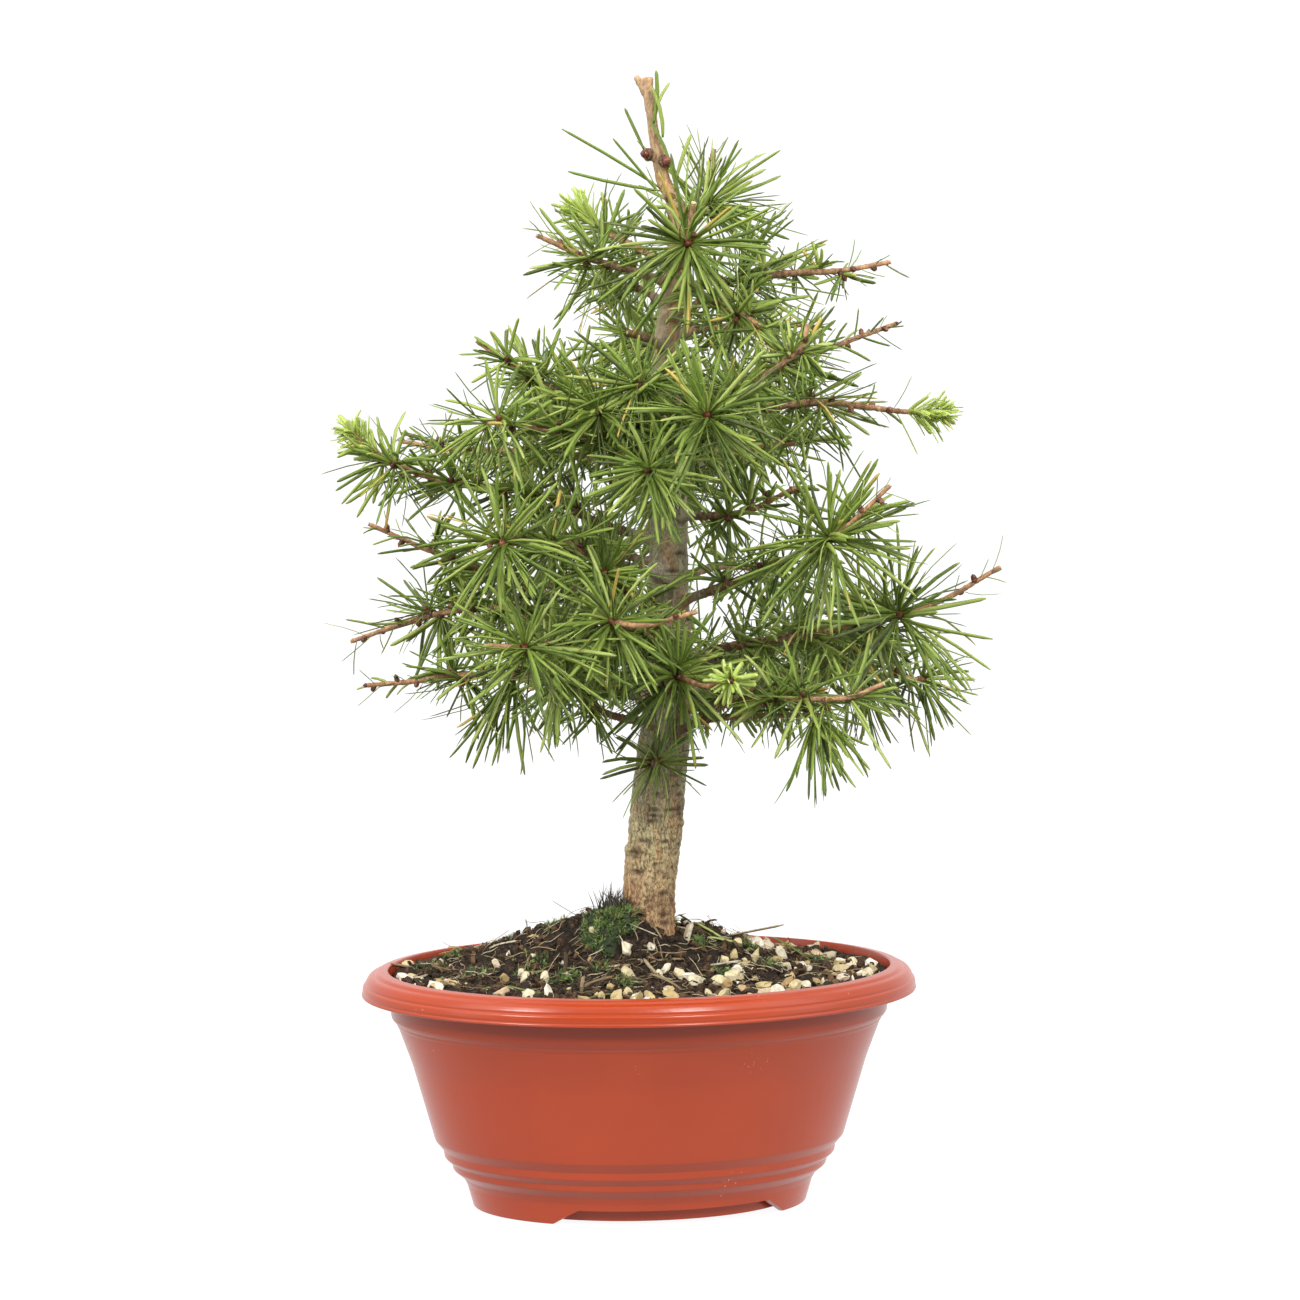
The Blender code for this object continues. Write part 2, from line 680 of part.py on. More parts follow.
class Clearance:
    """Remembers every round rod that is already in place."""

    def __init__(self):
        self.starts = np.zeros((0, 3))
        self.ends = np.zeros((0, 3))
        self.radii = np.zeros(0)
        self.owners = []

    def add(self, start, end, radius, owner):
        """Keep one rod with its owner's name."""
        self.starts = np.vstack((self.starts, np.array(start)))
        self.ends = np.vstack((self.ends, np.array(end)))
        self.radii = np.append(self.radii, radius)
        self.owners.append(owner)

    def gaps(self, start, end, radius):
        """Free distance from a new rod to each rod in place."""
        first = np.array(start)
        run = np.array(end) - first
        runs = self.ends - self.starts
        between = first - self.starts
        a = float(run @ run)
        e = np.einsum("ij,ij->i", runs, runs) + 1e-15
        b = runs @ run
        c = between @ run
        f = np.einsum("ij,ij->i", runs, between)
        denominator = a * e - b * b
        safe = np.where(denominator > 1e-18, denominator, 1.0)
        s = np.where(denominator > 1e-18, (b * f - c * e) / safe, 0.0)
        s = np.clip(s, 0.0, 1.0)
        t = np.clip((b * s + f) / e, 0.0, 1.0)
        s = np.clip((b * t - c) / a, 0.0, 1.0)
        near = first + s[:, None] * run
        other = self.starts + t[:, None] * runs
        return np.linalg.norm(near - other, axis=1) - self.radii - radius


def needle_mesh(root, tip):
    """A three-sided blade, blunt at its tip."""
    radii = (NEEDLE_RADIUS * MM, NEEDLE_TIP_RADIUS * MM)
    return loft_mesh(tube_rings([root, tip], radii, 3), slot=1)


def spur_needles(limb, index, count, length, rods, draw):
    """Place a spur's needles all round it, each clear of all that is in place."""
    along = limb.tangent(index)
    at_end = index == len(limb.points) - 1
    first_tilt, more_tilt = END_SPUR_TILT if at_end else SIDE_SPUR_TILT
    across = along.orthogonal().normalized()
    other = along.cross(across)
    own_spur = f"{limb.name}:{index}"
    placed_needles = []
    turn = draw.uniform(0.0, 2.0 * math.pi)
    for k in range(count):
        share = (k + 0.5) / count
        for attempt in range(NEEDLE_TRIES):
            spread = min(1.0, attempt / WIDEST_TRY)
            tilt = math.radians(first_tilt + more_tilt * share)
            tilt += draw.uniform(-1.0, 1.0) * math.radians(TILT_PLAY[0] + TILT_PLAY[1] * spread)
            angle = turn + k * GOLDEN_ANGLE
            angle += draw.uniform(-1.0, 1.0) * (TURN_PLAY[0] + TURN_PLAY[1] * spread)
            outward = across * math.cos(angle) + other * math.sin(angle)
            direction = along * math.cos(tilt) + outward * math.sin(tilt)
            base = limb.at(limb.stations[index] + SPUR_STRETCH * (SPUR_START - share))
            reach = length * draw.uniform(*NEEDLE_LENGTHS) * (1.0 - LENGTH_LOSS * spread * draw.random())
            root = base + direction * NEEDLE_ROOT * MM
            tip = base + direction * reach * MM
            free = base + direction * NEEDLE_FREE * MM
            gaps = rods.gaps(free, tip, NEEDLE_RADIUS * MM)
            whole = rods.gaps(root, tip, NEEDLE_RADIUS * MM)
            own = np.array([owner in (own_spur, limb.name) for owner in rods.owners])
            worst = float(np.where(own, gaps, whole).min())
            if worst > NEEDLE_CLEARANCE * MM:
                placed_needles.append((root, tip))
                rods.add(root, tip, NEEDLE_RADIUS * MM, own_spur)
                break
    return placed_needles


def build_sprays(limbs, twig_bark, needle_green):
    """Every limb's leafy end, needles and twig fused in one body."""
    rods = Clearance()
    for (low_x, low, low_r), (high_x, high, high_r) in zip(TRUNK, TRUNK[1:]):
        start = placed(low_x, 0.0, low)
        rods.add(start, placed(high_x, 0.0, high), max(low_r, high_r) * MM, "trunk")
    for limb in limbs:
        points, radii = limb.stretch(0.0, limb.reach)
        for start, end, radius in zip(points, points[1:], radii):
            rods.add(start, end, radius, "trunk")
        points, radii = limb.twig_stretch()
        for start, end, radius in zip(points, points[1:], radii):
            rods.add(start, end, radius, limb.name)
    draw = random.Random(NEEDLE_SEED)
    for limb in limbs:
        points, radii = limb.twig_stretch()
        twig = loft_mesh(tube_rings(points, radii, LIMB_SIDES))
        spray = add_object("spray_" + limb.name, twig, (twig_bark, needle_green))
        needles = []
        for index, spur in enumerate(limb.spurs, start=1):
            for root, tip in spur_needles(limb, index, spur[3], spur[4], rods, draw):
                blade = needle_mesh(root, tip)
                needles.append(add_object("needle", blade, (twig_bark, needle_green)))
        apply_boolean(spray, "UNION", needles, "MANIFOLD")


def main():
    """Build the pot, what fills it, and the tree."""
    clear_scene()
    plastic = make_material("pot_plastic", (0.50, 0.10, 0.045), 0.38)
    peat = make_material("peat_soil", (0.030, 0.020, 0.014), 0.95)
    moss_green = make_material("moss_green", (0.09, 0.20, 0.03), 0.9)
    bark = make_material("larch_bark", (0.33, 0.23, 0.14), 0.85)
    twig_bark = make_material("twig_bark", (0.30, 0.14, 0.06), 0.75)
    needle_green = make_material("needle_green", (0.11, 0.26, 0.04), 0.5)
    limbs = [Limb(name, height, spurs) for name, height, spurs in LIMBS]
    build_pot(plastic)
    soil = build_soil(peat)
    build_moss(moss_green, soil)
    build_trunk(limbs, bark)
    build_sprays(limbs, twig_bark, needle_green)


main()
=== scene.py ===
"""The looks of a young larch bonsai in its oval plastic pot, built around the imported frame.

Places on the tree are (right, back, up) in millimetres from the pot's centre, as seen
from the tree's front, and `placed` turns them into the frame. Meshes are worked out in
millimetres and stored in metres.
"""

from __future__ import annotations

import json
import logging
import math
import random
from collections.abc import Callable, Iterator, Sequence
from contextlib import contextmanager
from dataclasses import dataclass, field
from enum import Enum

import bmesh
import bpy
import numpy as np
from bpy.types import Material, Mesh, Node, NodeSocket, NodeTree, Object, World
from mathutils import Matrix, Vector, noise

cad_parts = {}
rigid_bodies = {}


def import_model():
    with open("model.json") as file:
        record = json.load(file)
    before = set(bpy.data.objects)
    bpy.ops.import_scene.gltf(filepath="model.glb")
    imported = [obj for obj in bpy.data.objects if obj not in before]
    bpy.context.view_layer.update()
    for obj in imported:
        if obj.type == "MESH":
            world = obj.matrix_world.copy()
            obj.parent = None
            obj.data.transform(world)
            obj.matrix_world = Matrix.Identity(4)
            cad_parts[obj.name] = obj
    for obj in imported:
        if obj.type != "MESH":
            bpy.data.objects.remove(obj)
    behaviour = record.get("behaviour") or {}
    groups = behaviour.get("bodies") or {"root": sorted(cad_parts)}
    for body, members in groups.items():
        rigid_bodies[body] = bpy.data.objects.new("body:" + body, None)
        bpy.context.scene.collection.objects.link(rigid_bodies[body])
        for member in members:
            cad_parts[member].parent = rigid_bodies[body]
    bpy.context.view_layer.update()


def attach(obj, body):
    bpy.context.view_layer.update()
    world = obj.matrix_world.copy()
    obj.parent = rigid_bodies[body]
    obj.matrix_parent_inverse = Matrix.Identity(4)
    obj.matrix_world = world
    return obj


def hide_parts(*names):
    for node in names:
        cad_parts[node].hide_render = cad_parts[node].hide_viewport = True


LOG = logging.getLogger("larch")
Rows = tuple[tuple[float, ...], ...]
Sockets = tuple[NodeSocket, NodeSocket]

MM = 0.001
FRONT_TURN = math.radians(17.0)
POT_CENTRE = np.array((-6.5, 3.0, 0.0))
POT_RATIO = 0.81
GOLDEN_ANGLE = math.pi * (3.0 - math.sqrt(5.0))
UP = np.array((0.0, 0.0, 1.0))
FRONT = np.array((-math.sin(FRONT_TURN), -math.cos(FRONT_TURN), 0.0))


class Spur(Enum):
    """What grows where a limb's route has a point."""

    BARE = "no needles"
    SPARSE = "a thin inner rosette"
    SIDE = "rosettes round the twig"
    HUB = "one large rosette that faces outwards"
    FAN = "one rosette that sweeps on along the twig"
    DROOP = "one rosette whose long needles hang"
    SHOOT = "short single needles along a slim shoot"
    STUB = "side buds and a few stray needles on a bare cut end"
    PALE = "a young pale shoot"
    STAR = "a young compact star"


BARE, SPARSE, SIDE, HUB, FAN, DROOP, SHOOT, STUB, PALE, STAR = Spur

# Trunk, (right, up, radius) along its centre line
TRUNK = (
    (3.0, 60.0, 11.6), (3.0, 88.0, 12.4), (3.0, 99.0, 11.3), (3.0, 110.0, 10.3),
    (4.0, 128.0, 10.2), (5.5, 142.0, 10.4), (8.0, 168.0, 10.0), (10.0, 188.0, 9.3),
    (11.0, 212.0, 8.5), (11.0, 240.0, 7.7), (11.0, 266.0, 7.0), (11.0, 292.0, 6.3),
    (10.0, 316.0, 5.5), (10.0, 333.0, 4.9), (12.5, 349.0, 4.4), (14.2, 368.0, 3.9),
    (13.5, 385.0, 3.4), (9.0, 395.0, 2.6), (6.0, 409.0, 2.2), (4.2, 421.0, 2.0),
    (3.0, 434.0, 1.9),
)

# Limbs: name, height on the trunk, then each point as (right, back, up, spur, needle length)
LIMBS = (
    ("left_long", 256, ((-15, -8, 264, BARE, 24), (-40, -18, 277, SIDE, 25), (-71, -25, 281, SIDE, 22),
        (-96, -29, 290, SIDE, 22), (-109, -31, 301, PALE, 13))),
    ("left_high", 280, ((-15, 12, 287, SPARSE, 24), (-46, 26, 289, SIDE, 21), (-77, 32, 290, SPARSE, 15),
        (-91, 35, 292, SHOOT, 11))),
    ("left_upper", 303, ((-11, -12, 308, BARE, 24), (-29, -19, 315, SIDE, 27), (-41, -24, 321, SIDE, 22),
        (-50, -26, 327, SPARSE, 17), (-60, -28, 334, STUB, 12))),
    ("left_front_upper", 293, ((-7, -30, 298, SPARSE, 26), (-30, -55, 303, SIDE, 28),
        (-56, -68, 308, SIDE, 25))),
    ("left_front_mid", 243, ((-11, -36, 252, SPARSE, 26), (-33, -68, 261, SIDE, 28),
        (-51, -84, 264, HUB, 31), (-63, -90, 267, STUB, 12))),
    ("left_mid", 232, ((-19, 16, 235, SPARSE, 26), (-54, 22, 242, SIDE, 27), (-80, 25, 250, SPARSE, 20),
        (-103, 25, 260, STUB, 14))),
    ("left_low", 216, ((-19, 10, 226, SPARSE, 26), (-54, 16, 229, SIDE, 30), (-81, 20, 226, SIDE, 25),
        (-110, 24, 216, STUB, 18))),
    ("left_lowest", 195, ((-19, -12, 202, SPARSE, 22), (-34, -20, 206, SIDE, 24),
        (-48, -25, 207, DROOP, 31), (-70, -30, 208, SIDE, 18), (-86, -32, 206, SHOOT, 14),
        (-102, -35, 205, SHOOT, 11))),
    ("front_left_low", 208, ((-7, -40, 215, SPARSE, 26), (-28, -80, 222, SIDE, 27),
        (-42, -96, 226, HUB, 31), (-55, -100, 227, STUB, 12))),
    ("front_low", 216, ((4, -45, 226, SPARSE, 26), (-10, -84, 234, HUB, 28), (2, -95, 234, BARE, 22),
        (19, -100, 239, STUB, 9))),
    ("front_lowest", 197, ((11, -35, 204, SPARSE, 26), (14, -60, 211, HUB, 29), (24, -74, 209, BARE, 25),
        (34, -84, 212, STAR, 7))),
    ("right_lowest_back", 195, ((38, 8, 201, SPARSE, 26), (65, 10, 206, SIDE, 28), (86, 4, 215, SIDE, 26),
        (90, 0, 228, SPARSE, 19))),
    ("right_mid_front", 232, ((32, -18, 241, SPARSE, 25), (54, -42, 253, SPARSE, 22),
        (71, -60, 263, HUB, 34), (80, -63, 270, SPARSE, 25), (92, -66, 282, STUB, 15))),
    ("right_low", 210, ((38, -5, 217, SPARSE, 24), (66, -13, 222, SIDE, 27), (83, -18, 226, SPARSE, 25),
        (98, -24, 230, HUB, 34), (117, -23, 237, BARE, 20), (135, -26, 248, STUB, 15))),
    ("right_front_low", 188, ((30, -35, 199, SPARSE, 11), (54, -65, 203, SIDE, 18),
        (77, -78, 205, SPARSE, 24), (89, -82, 210, STUB, 16))),
    ("right_front_drooping", 180, ((28, -34, 192, BARE, 20), (66, -64, 197, DROOP, 27))),
    ("right_lowest", 180, ((46, 28, 196, SPARSE, 17), (88, 42, 200, DROOP, 23), (109, 46, 198, HUB, 23))),
    ("right_upper", 308, ((32, 12, 315, SPARSE, 26), (57, 18, 324, SIDE, 26), (80, 22, 332, SHOOT, 14),
        (97, 24, 338, SHOOT, 12))),
    ("right_front_upper", 300, ((21, -34, 305, SPARSE, 27), (36, -56, 317, SIDE, 25),
        (59, -70, 334, SIDE, 15), (62, -70, 342, STUB, 8))),
    ("right_tip", 295, ((38, -8, 306, SPARSE, 27), (68, -14, 311, SIDE, 29), (99, -20, 308, STUB, 17),
        (114, -24, 308, PALE, 13))),
    ("right_mid", 283, ((38, 14, 290, SPARSE, 26), (64, 22, 293, SPARSE, 18))),
    ("right_inner", 266, ((27, -18, 268, SPARSE, 28), (41, -31, 271, SPARSE, 17),
        (57, -44, 280, SPARSE, 8))),
    ("top_left", 355, ((0, -10, 360, SPARSE, 16), (-19, -18, 366, SIDE, 27), (-37, -22, 374, STUB, 12))),
    ("top_left_back", 361, ((0, 16, 368, SPARSE, 24), (-13, 22, 374, SPARSE, 21), (-23, 26, 382, PALE, 16))),
    ("top_right", 351, ((24, -5, 356, SPARSE, 25), (36, -7, 357, FAN, 35), (58, -10, 360, SPARSE, 14),
        (76, -12, 361, SPARSE, 12), (93, -14, 364, STUB, 12))),
    ("top_front", 363, ((16, -18, 367, SPARSE, 30), (18, -30, 372, HUB, 37), (20, -38, 386, STUB, 9))),
    ("top_short", 371, ((21, 8, 381, SPARSE, 22), (25, 10, 385, HUB, 31), (28, 12, 404, STUB, 10))),
    ("upper_left_small", 331, ((4, -16, 335, BARE, 18), (-3, -28, 338, SPARSE, 14))),
    ("upper_front_right", 343, ((23, -22, 349, SPARSE, 28), (37, -40, 347, SIDE, 25),
        (44, -50, 343, SPARSE, 18))),
    ("upper_left_back", 346, ((0, 24, 352, SPARSE, 22), (-15, 38, 352, SPARSE, 22))),
    ("upper_right_back", 335, ((27, 28, 337, SPARSE, 25), (46, 48, 336, SPARSE, 17),
        (64, 60, 336, SPARSE, 9))),
    ("upper_back", 324, ((8, 40, 327, SPARSE, 26), (0, 70, 329, HUB, 28))),
    ("mid_front_left", 301, ((0, -32, 304, SIDE, 26), (-15, -58, 310, HUB, 29))),
    ("mid_front_centre", 314, ((5, -30, 319, SPARSE, 26), (0, -58, 321, HUB, 28))),
    ("mid_front_right", 291, ((19, -44, 298, SIDE, 28), (25, -78, 310, HUB, 31))),
    ("mid_front_low", 276, ((8, -42, 283, SPARSE, 25), (4, -80, 291, HUB, 25))),
    ("mid_left_back", 289, ((-4, 48, 291, SPARSE, 26), (-22, 84, 294, HUB, 28))),
    ("mid_right_back", 287, ((27, 50, 288, SPARSE, 26), (45, 86, 290, HUB, 28))),
    ("mid_back", 270, ((9, 52, 273, SIDE, 26), (13, 98, 273, HUB, 28))),
    ("low_left_back", 247, ((-10, 52, 247, SPARSE, 26), (-32, 94, 248, HUB, 29))),
    ("low_right_back", 241, ((33, 52, 242, BARE, 26), (58, 96, 234, SPARSE, 18))),
    ("low_front_inner", 224, ((0, -34, 239, SPARSE, 24), (-14, -62, 250, HUB, 24))),
    ("lowest_left_back", 211, ((-12, 55, 209, SPARSE, 25), (-36, 98, 208, HUB, 28))),
    ("lowest_right_back", 208, ((37, 54, 207, SPARSE, 25), (63, 96, 204, HUB, 28))),
    ("lowest_back", 200, ((11, 60, 198, SPARSE, 25), (9, 110, 196, HUB, 26))),
    ("small_front_left", 186, ((-12, -36, 194, BARE, 27), (-29, -68, 210, HUB, 21))),
    ("trunk_spur", 169, ((6, -20, 173, SIDE, 20),)),
)


def placed(right: float, back: float, up: float) -> np.ndarray:
    """Turn a place seen from the tree's front into the frame.

    Args:
        right: Distance to the right of the pot's centre, in mm.
        back: Distance behind it, in mm.
        up: Height above the ground, in mm.

    Returns:
        The point in the frame, in mm.
    """
    cos, sin = math.cos(FRONT_TURN), math.sin(FRONT_TURN)
    return np.array((right * cos + back * sin, back * cos - right * sin, up)) + POT_CENTRE


def unit(vectors: np.ndarray) -> np.ndarray:
    """Scale a vector, or each row of an array of vectors, to a length of one."""
    return vectors / np.linalg.norm(vectors, axis=-1, keepdims=True)


def linear(code: str) -> tuple[float, float, float, float]:
    """Turn an sRGB hex value such as #5E8A35 into linear red, green, blue and alpha."""
    channels = [int(code[i : i + 2], 16) / 255.0 for i in (1, 3, 5)]
    lit = [c / 12.92 if c <= 0.04045 else ((c + 0.055) / 1.055) ** 2.4 for c in channels]
    return (*lit, 1.0)


def add_node(
    tree: NodeTree, kind: str, inputs: dict | None = None, out: int | str = 0,
    stops: Sequence[tuple[float, str]] = (), **settings: object,
) -> NodeSocket:
    """Add a node with its settings and what feeds it.

    Args:
        tree: The node tree that gets it.
        kind: The node's type name.
        inputs: Input name or number to its constant, or to the output that feeds it.
        out: Name or number of the output that is wanted.
        stops: Places and hex colours of a colour ramp.
        settings: Properties of the node itself.

    Returns:
        The wanted output.
    """
    node = tree.nodes.new(kind)
    for name, value in settings.items():
        setattr(node, name, value)
    for name, value in (inputs or {}).items():
        if isinstance(value, NodeSocket):
            tree.links.new(value, node.inputs[name])
        else:
            node.inputs[name].default_value = value
    if stops:
        elements = node.color_ramp.elements
        while len(elements) < len(stops):
            elements.new(0.5)
        for element, (position, code) in zip(elements, stops):
            element.position = position
            element.color = linear(code)
    return node.outputs[out]


@dataclass(frozen=True)
class Finish:
    """What every finish has: a name, roughness, refraction, a fine relief and its sheen."""

    name: str
    roughness: float
    ior: float = 1.5
    relief_mm: float = 0.1
    bump: float = 0.3
    sheen: float = 0.0

    def begin(self) -> tuple[Material, NodeTree, Node]:
        """Start the material, and give it with its node tree and its shader."""
        material = bpy.data.materials.new(self.name)
        material.use_nodes = True
        shader = material.node_tree.nodes["Principled BSDF"]
        for name, value in (
            ("Roughness", self.roughness), ("IOR", self.ior), ("Sheen Weight", self.sheen),
        ):
            shader.inputs[name].default_value = value
        return material, material.node_tree, shader

    def material(self) -> Material:
        """Build the material from the colour and the height that `surface` makes."""
        material, tree, shader = self.begin()
        place = add_node(tree, "ShaderNodeTexCoord", out="Object")
        colour, height = self.surface(tree, place)
        normal = add_node(
            tree, "ShaderNodeBump",
            {"Height": height, "Strength": self.bump, "Distance": self.relief_mm * MM},
        )
        tree.links.new(colour, shader.inputs["Base Color"])
        tree.links.new(normal, shader.inputs["Normal"])
        return material

    def surface(self, tree: NodeTree, place: NodeSocket) -> Sockets:
        """Make the colour and the height of the relief, in each finish its own way."""
        raise NotImplementedError


@dataclass(frozen=True)
class MouldedPolypropylene(Finish):
    """Injection-moulded polypropylene: even colour, a soft gloss and fine scuffs."""

    bump: float = 0.08
    body: str = "#B4421B"
    deep: str = "#AA3C18"
    scuff: str = "#E9B49C"
    cloud_mm: float = 55.0
    grain_mm: float = 0.9
    scratch_mm: float = 7.0

    def surface(self, tree: NodeTree, place: NodeSocket) -> Sockets:
        """Build the plastic: faint clouds in the colour, an orange-peel grain and scuffs."""
        turned = add_node(
            tree, "ShaderNodeMapping",
            {"Vector": place, "Rotation": (0.5, 0.3, 0.9), "Scale": (1.0, 0.12, 1.0)},
        )
        clouds, scratches, patches, grain = (
            add_node(
                tree, "ShaderNodeTexNoise",
                {"Vector": vector, "Scale": scale / MM, "Detail": detail},
            )
            for vector, scale, detail in (
                (place, 1.0 / self.cloud_mm, 3.0), (turned, 5.0 / self.scratch_mm, 2.0),
                (place, 0.35 / self.scratch_mm, 1.0), (place, 1.0 / self.grain_mm, 2.0),
            )
        )
        colour = add_node(
            tree, "ShaderNodeValToRGB", {"Fac": clouds}, stops=((0.3, self.deep), (0.7, self.body))
        )
        both = add_node(tree, "ShaderNodeMath", {0: scratches, 1: patches}, operation="MULTIPLY")
        marks = add_node(
            tree, "ShaderNodeMapRange",
            {"Value": both, "From Min": 0.50, "From Max": 0.56, "To Max": 0.75},
        )
        mixed = add_node(
            tree, "ShaderNodeMix", {0: marks, 6: colour, 7: linear(self.scuff)}, 2, data_type="RGBA"
        )
        return mixed, grain


@dataclass(frozen=True)
class CrumblyPeat(Finish):
    """Damp peat and bark fines: brown on its crumbs, and near black between them as painted shade of the
    gaps.
    """

    relief_mm: float = 0.6
    bump: float = 0.7
    # The darkest stop: painted shade of the gaps between crumbs, darker than the peat itself
    painted_gap_shade: str = "#0F0B08"
    crumb: str = "#36291E"
    dust: str = "#65533E"
    crumb_mm: float = 2.2
    fibre_mm: float = 0.7

    def surface(self, tree: NodeTree, place: NodeSocket) -> Sockets:
        """Build the peat from crumbs and finer fibres."""
        crumbs = add_node(
            tree, "ShaderNodeTexNoise",
            {"Vector": place, "Scale": 1.0 / (self.crumb_mm * MM), "Detail": 6.0, "Roughness": 0.7},
        )
        # Noise places the near-black painted shade of the gaps; the crumb and dust stops are the peat's own
        # browns
        colour = add_node(
            tree, "ShaderNodeValToRGB", {"Fac": crumbs},
            stops=((0.38, self.painted_gap_shade), (0.56, self.crumb), (0.74, self.dust)),
        )
        fibres = add_node(
            tree, "ShaderNodeTexNoise",
            {"Vector": place, "Scale": 1.0 / (self.fibre_mm * MM), "Detail": 4.0, "Distortion": 1.2},
        )
        return colour, fibres


@dataclass(frozen=True)
class Tinted(Finish):
    """A finish whose pieces differ: each copy's tint picks its colour from a ramp.

    The tint attribute holds a number for the copy, the share of the way along it, and
    how dry or worn it is.
    """

    shades: tuple[tuple[float, str], ...] = ((0.0, "#000000"), (1.0, "#FFFFFF"))
    foot: str = "#000000"
    foot_share: float = 0.0
    dry: str = "#D8B04A"
    speckle: str = "#000000"
    speckle_mm: float = 1.0
    speckle_share: float = 0.0

    def surface(self, tree: NodeTree, place: NodeSocket) -> Sockets:
        """Lay the foot's colour, the speckles and the dry tip over the copy's own shade."""
        tint = add_node(tree, "ShaderNodeAttribute", attribute_name="tint")
        tone, along, dryness = add_node(tree, "ShaderNodeSeparateColor", {"Color": tint}).node.outputs
        colour = add_node(tree, "ShaderNodeValToRGB", {"Fac": tone}, stops=self.shades)
        grain = add_node(
            tree, "ShaderNodeTexNoise",
            {"Vector": place, "Scale": 1.0 / (self.speckle_mm * MM), "Detail": 4.0},
        )
        # A dry needle turns from its tip, so the share along it decides where the change starts
        reach = add_node(tree, "ShaderNodeMath", {0: dryness, 1: along}, operation="ADD")
        for value, limits, code in (
            (along, {"From Max": 0.35, "To Min": self.foot_share, "To Max": 0.0}, self.foot),
            (grain, {"From Min": 0.45, "From Max": 0.7, "To Max": self.speckle_share}, self.speckle),
            (reach, {"From Min": 1.08, "From Max": 1.25}, self.dry),
        ):
            share = add_node(tree, "ShaderNodeMapRange", {"Value": value, **limits})
            colour = add_node(
                tree, "ShaderNodeMix", {0: share, 6: colour, 7: linear(code)}, 2, data_type="RGBA"
            )
        return colour, grain


@dataclass(frozen=True)
class Bark(Finish):
    """Larch bark: tan and fissured low down, greyer above, peach on the leader.

    The relief attribute holds how deep a point lies in a fissure, whether it is on a
    scar, and the share of the way up the trunk or out along a limb.
    """

    relief_mm: float = 0.35
    bump: float = 0.8
    ages: tuple[tuple[float, str], ...] = ((0.0, "#B08A60"), (1.0, "#A06B42"))
    fissure: str = "#6A5238"
    scar: str = "#3E2A20"
    lichen: str = "#9C9870"
    lichen_share: float = 0.45
    flake_mm: float = 3.0
    blush: str = "#D89E6C"
    blush_mm: float = 7.0
    blush_share: float = 0.6
    current_mm: float = 1.5
    current_share: float = 0.8

    def surface(self, tree: NodeTree, place: NodeSocket) -> Sockets:
        """Build the bark from its age, a bloom of lichen, its cracks and its scars."""
        relief = add_node(tree, "ShaderNodeAttribute", attribute_name="relief")
        depth, scar, share = add_node(tree, "ShaderNodeSeparateColor", {"Color": relief}).node.outputs
        drawn = add_node(tree, "ShaderNodeMapping", {"Vector": place, "Scale": (1.0, 1.0, 0.35)})
        flakes, patches, currents = (
            add_node(
                tree, "ShaderNodeTexNoise",
                {"Vector": drawn, "Scale": 1.0 / (size * MM), "Detail": detail, **more},
            )
            for size, detail, more in (
                (self.flake_mm, 6.0, {"Roughness": 0.65}), (self.blush_mm, 4.0, {"Distortion": 0.6}),
                (self.current_mm, 2.0, {"Distortion": 0.5}),
            )
        )
        across = add_node(tree, "ShaderNodeMath", {0: currents, 1: 0.5}, operation="SUBTRACT")
        apart = add_node(tree, "ShaderNodeMath", {0: across}, operation="ABSOLUTE")
        # The fine wavy cracks fade out up the trunk, where the bark is young and smooth
        marked, blooms, flushes, light = (
            add_node(
                tree, "ShaderNodeMapRange",
                {"Value": value, "From Min": low, "From Max": high, "To Min": first, "To Max": last},
            )
            for value, low, high, first, last in (
                (share, 0.15, 0.85, self.current_share, 0.15), (flakes, 0.46, 0.66, 0.0, self.lichen_share),
                (patches, 0.5, 0.66, 0.0, self.blush_share), (flakes, 0.3, 0.7, 0.58, 1.34),
            )
        )
        between = add_node(
            tree, "ShaderNodeMapRange",
            {"Value": apart, "From Min": 0.006, "From Max": 0.045, "To Min": marked, "To Max": 0.0},
        )
        colour = add_node(tree, "ShaderNodeValToRGB", {"Fac": share}, stops=self.ages)
        for amount, code in (
            (blooms, self.lichen), (flushes, self.blush), (between, self.fissure),
            (depth, self.fissure), (scar, self.scar),
        ):
            if amount is between:
                colour = add_node(tree, "ShaderNodeHueSaturation", {"Color": colour, "Value": light})
            colour = add_node(
                tree, "ShaderNodeMix", {0: amount, 6: colour, 7: linear(code)}, 2, data_type="RGBA"
            )
        height = add_node(tree, "ShaderNodeMath", {0: flakes, 1: between}, operation="SUBTRACT")
        return colour, height


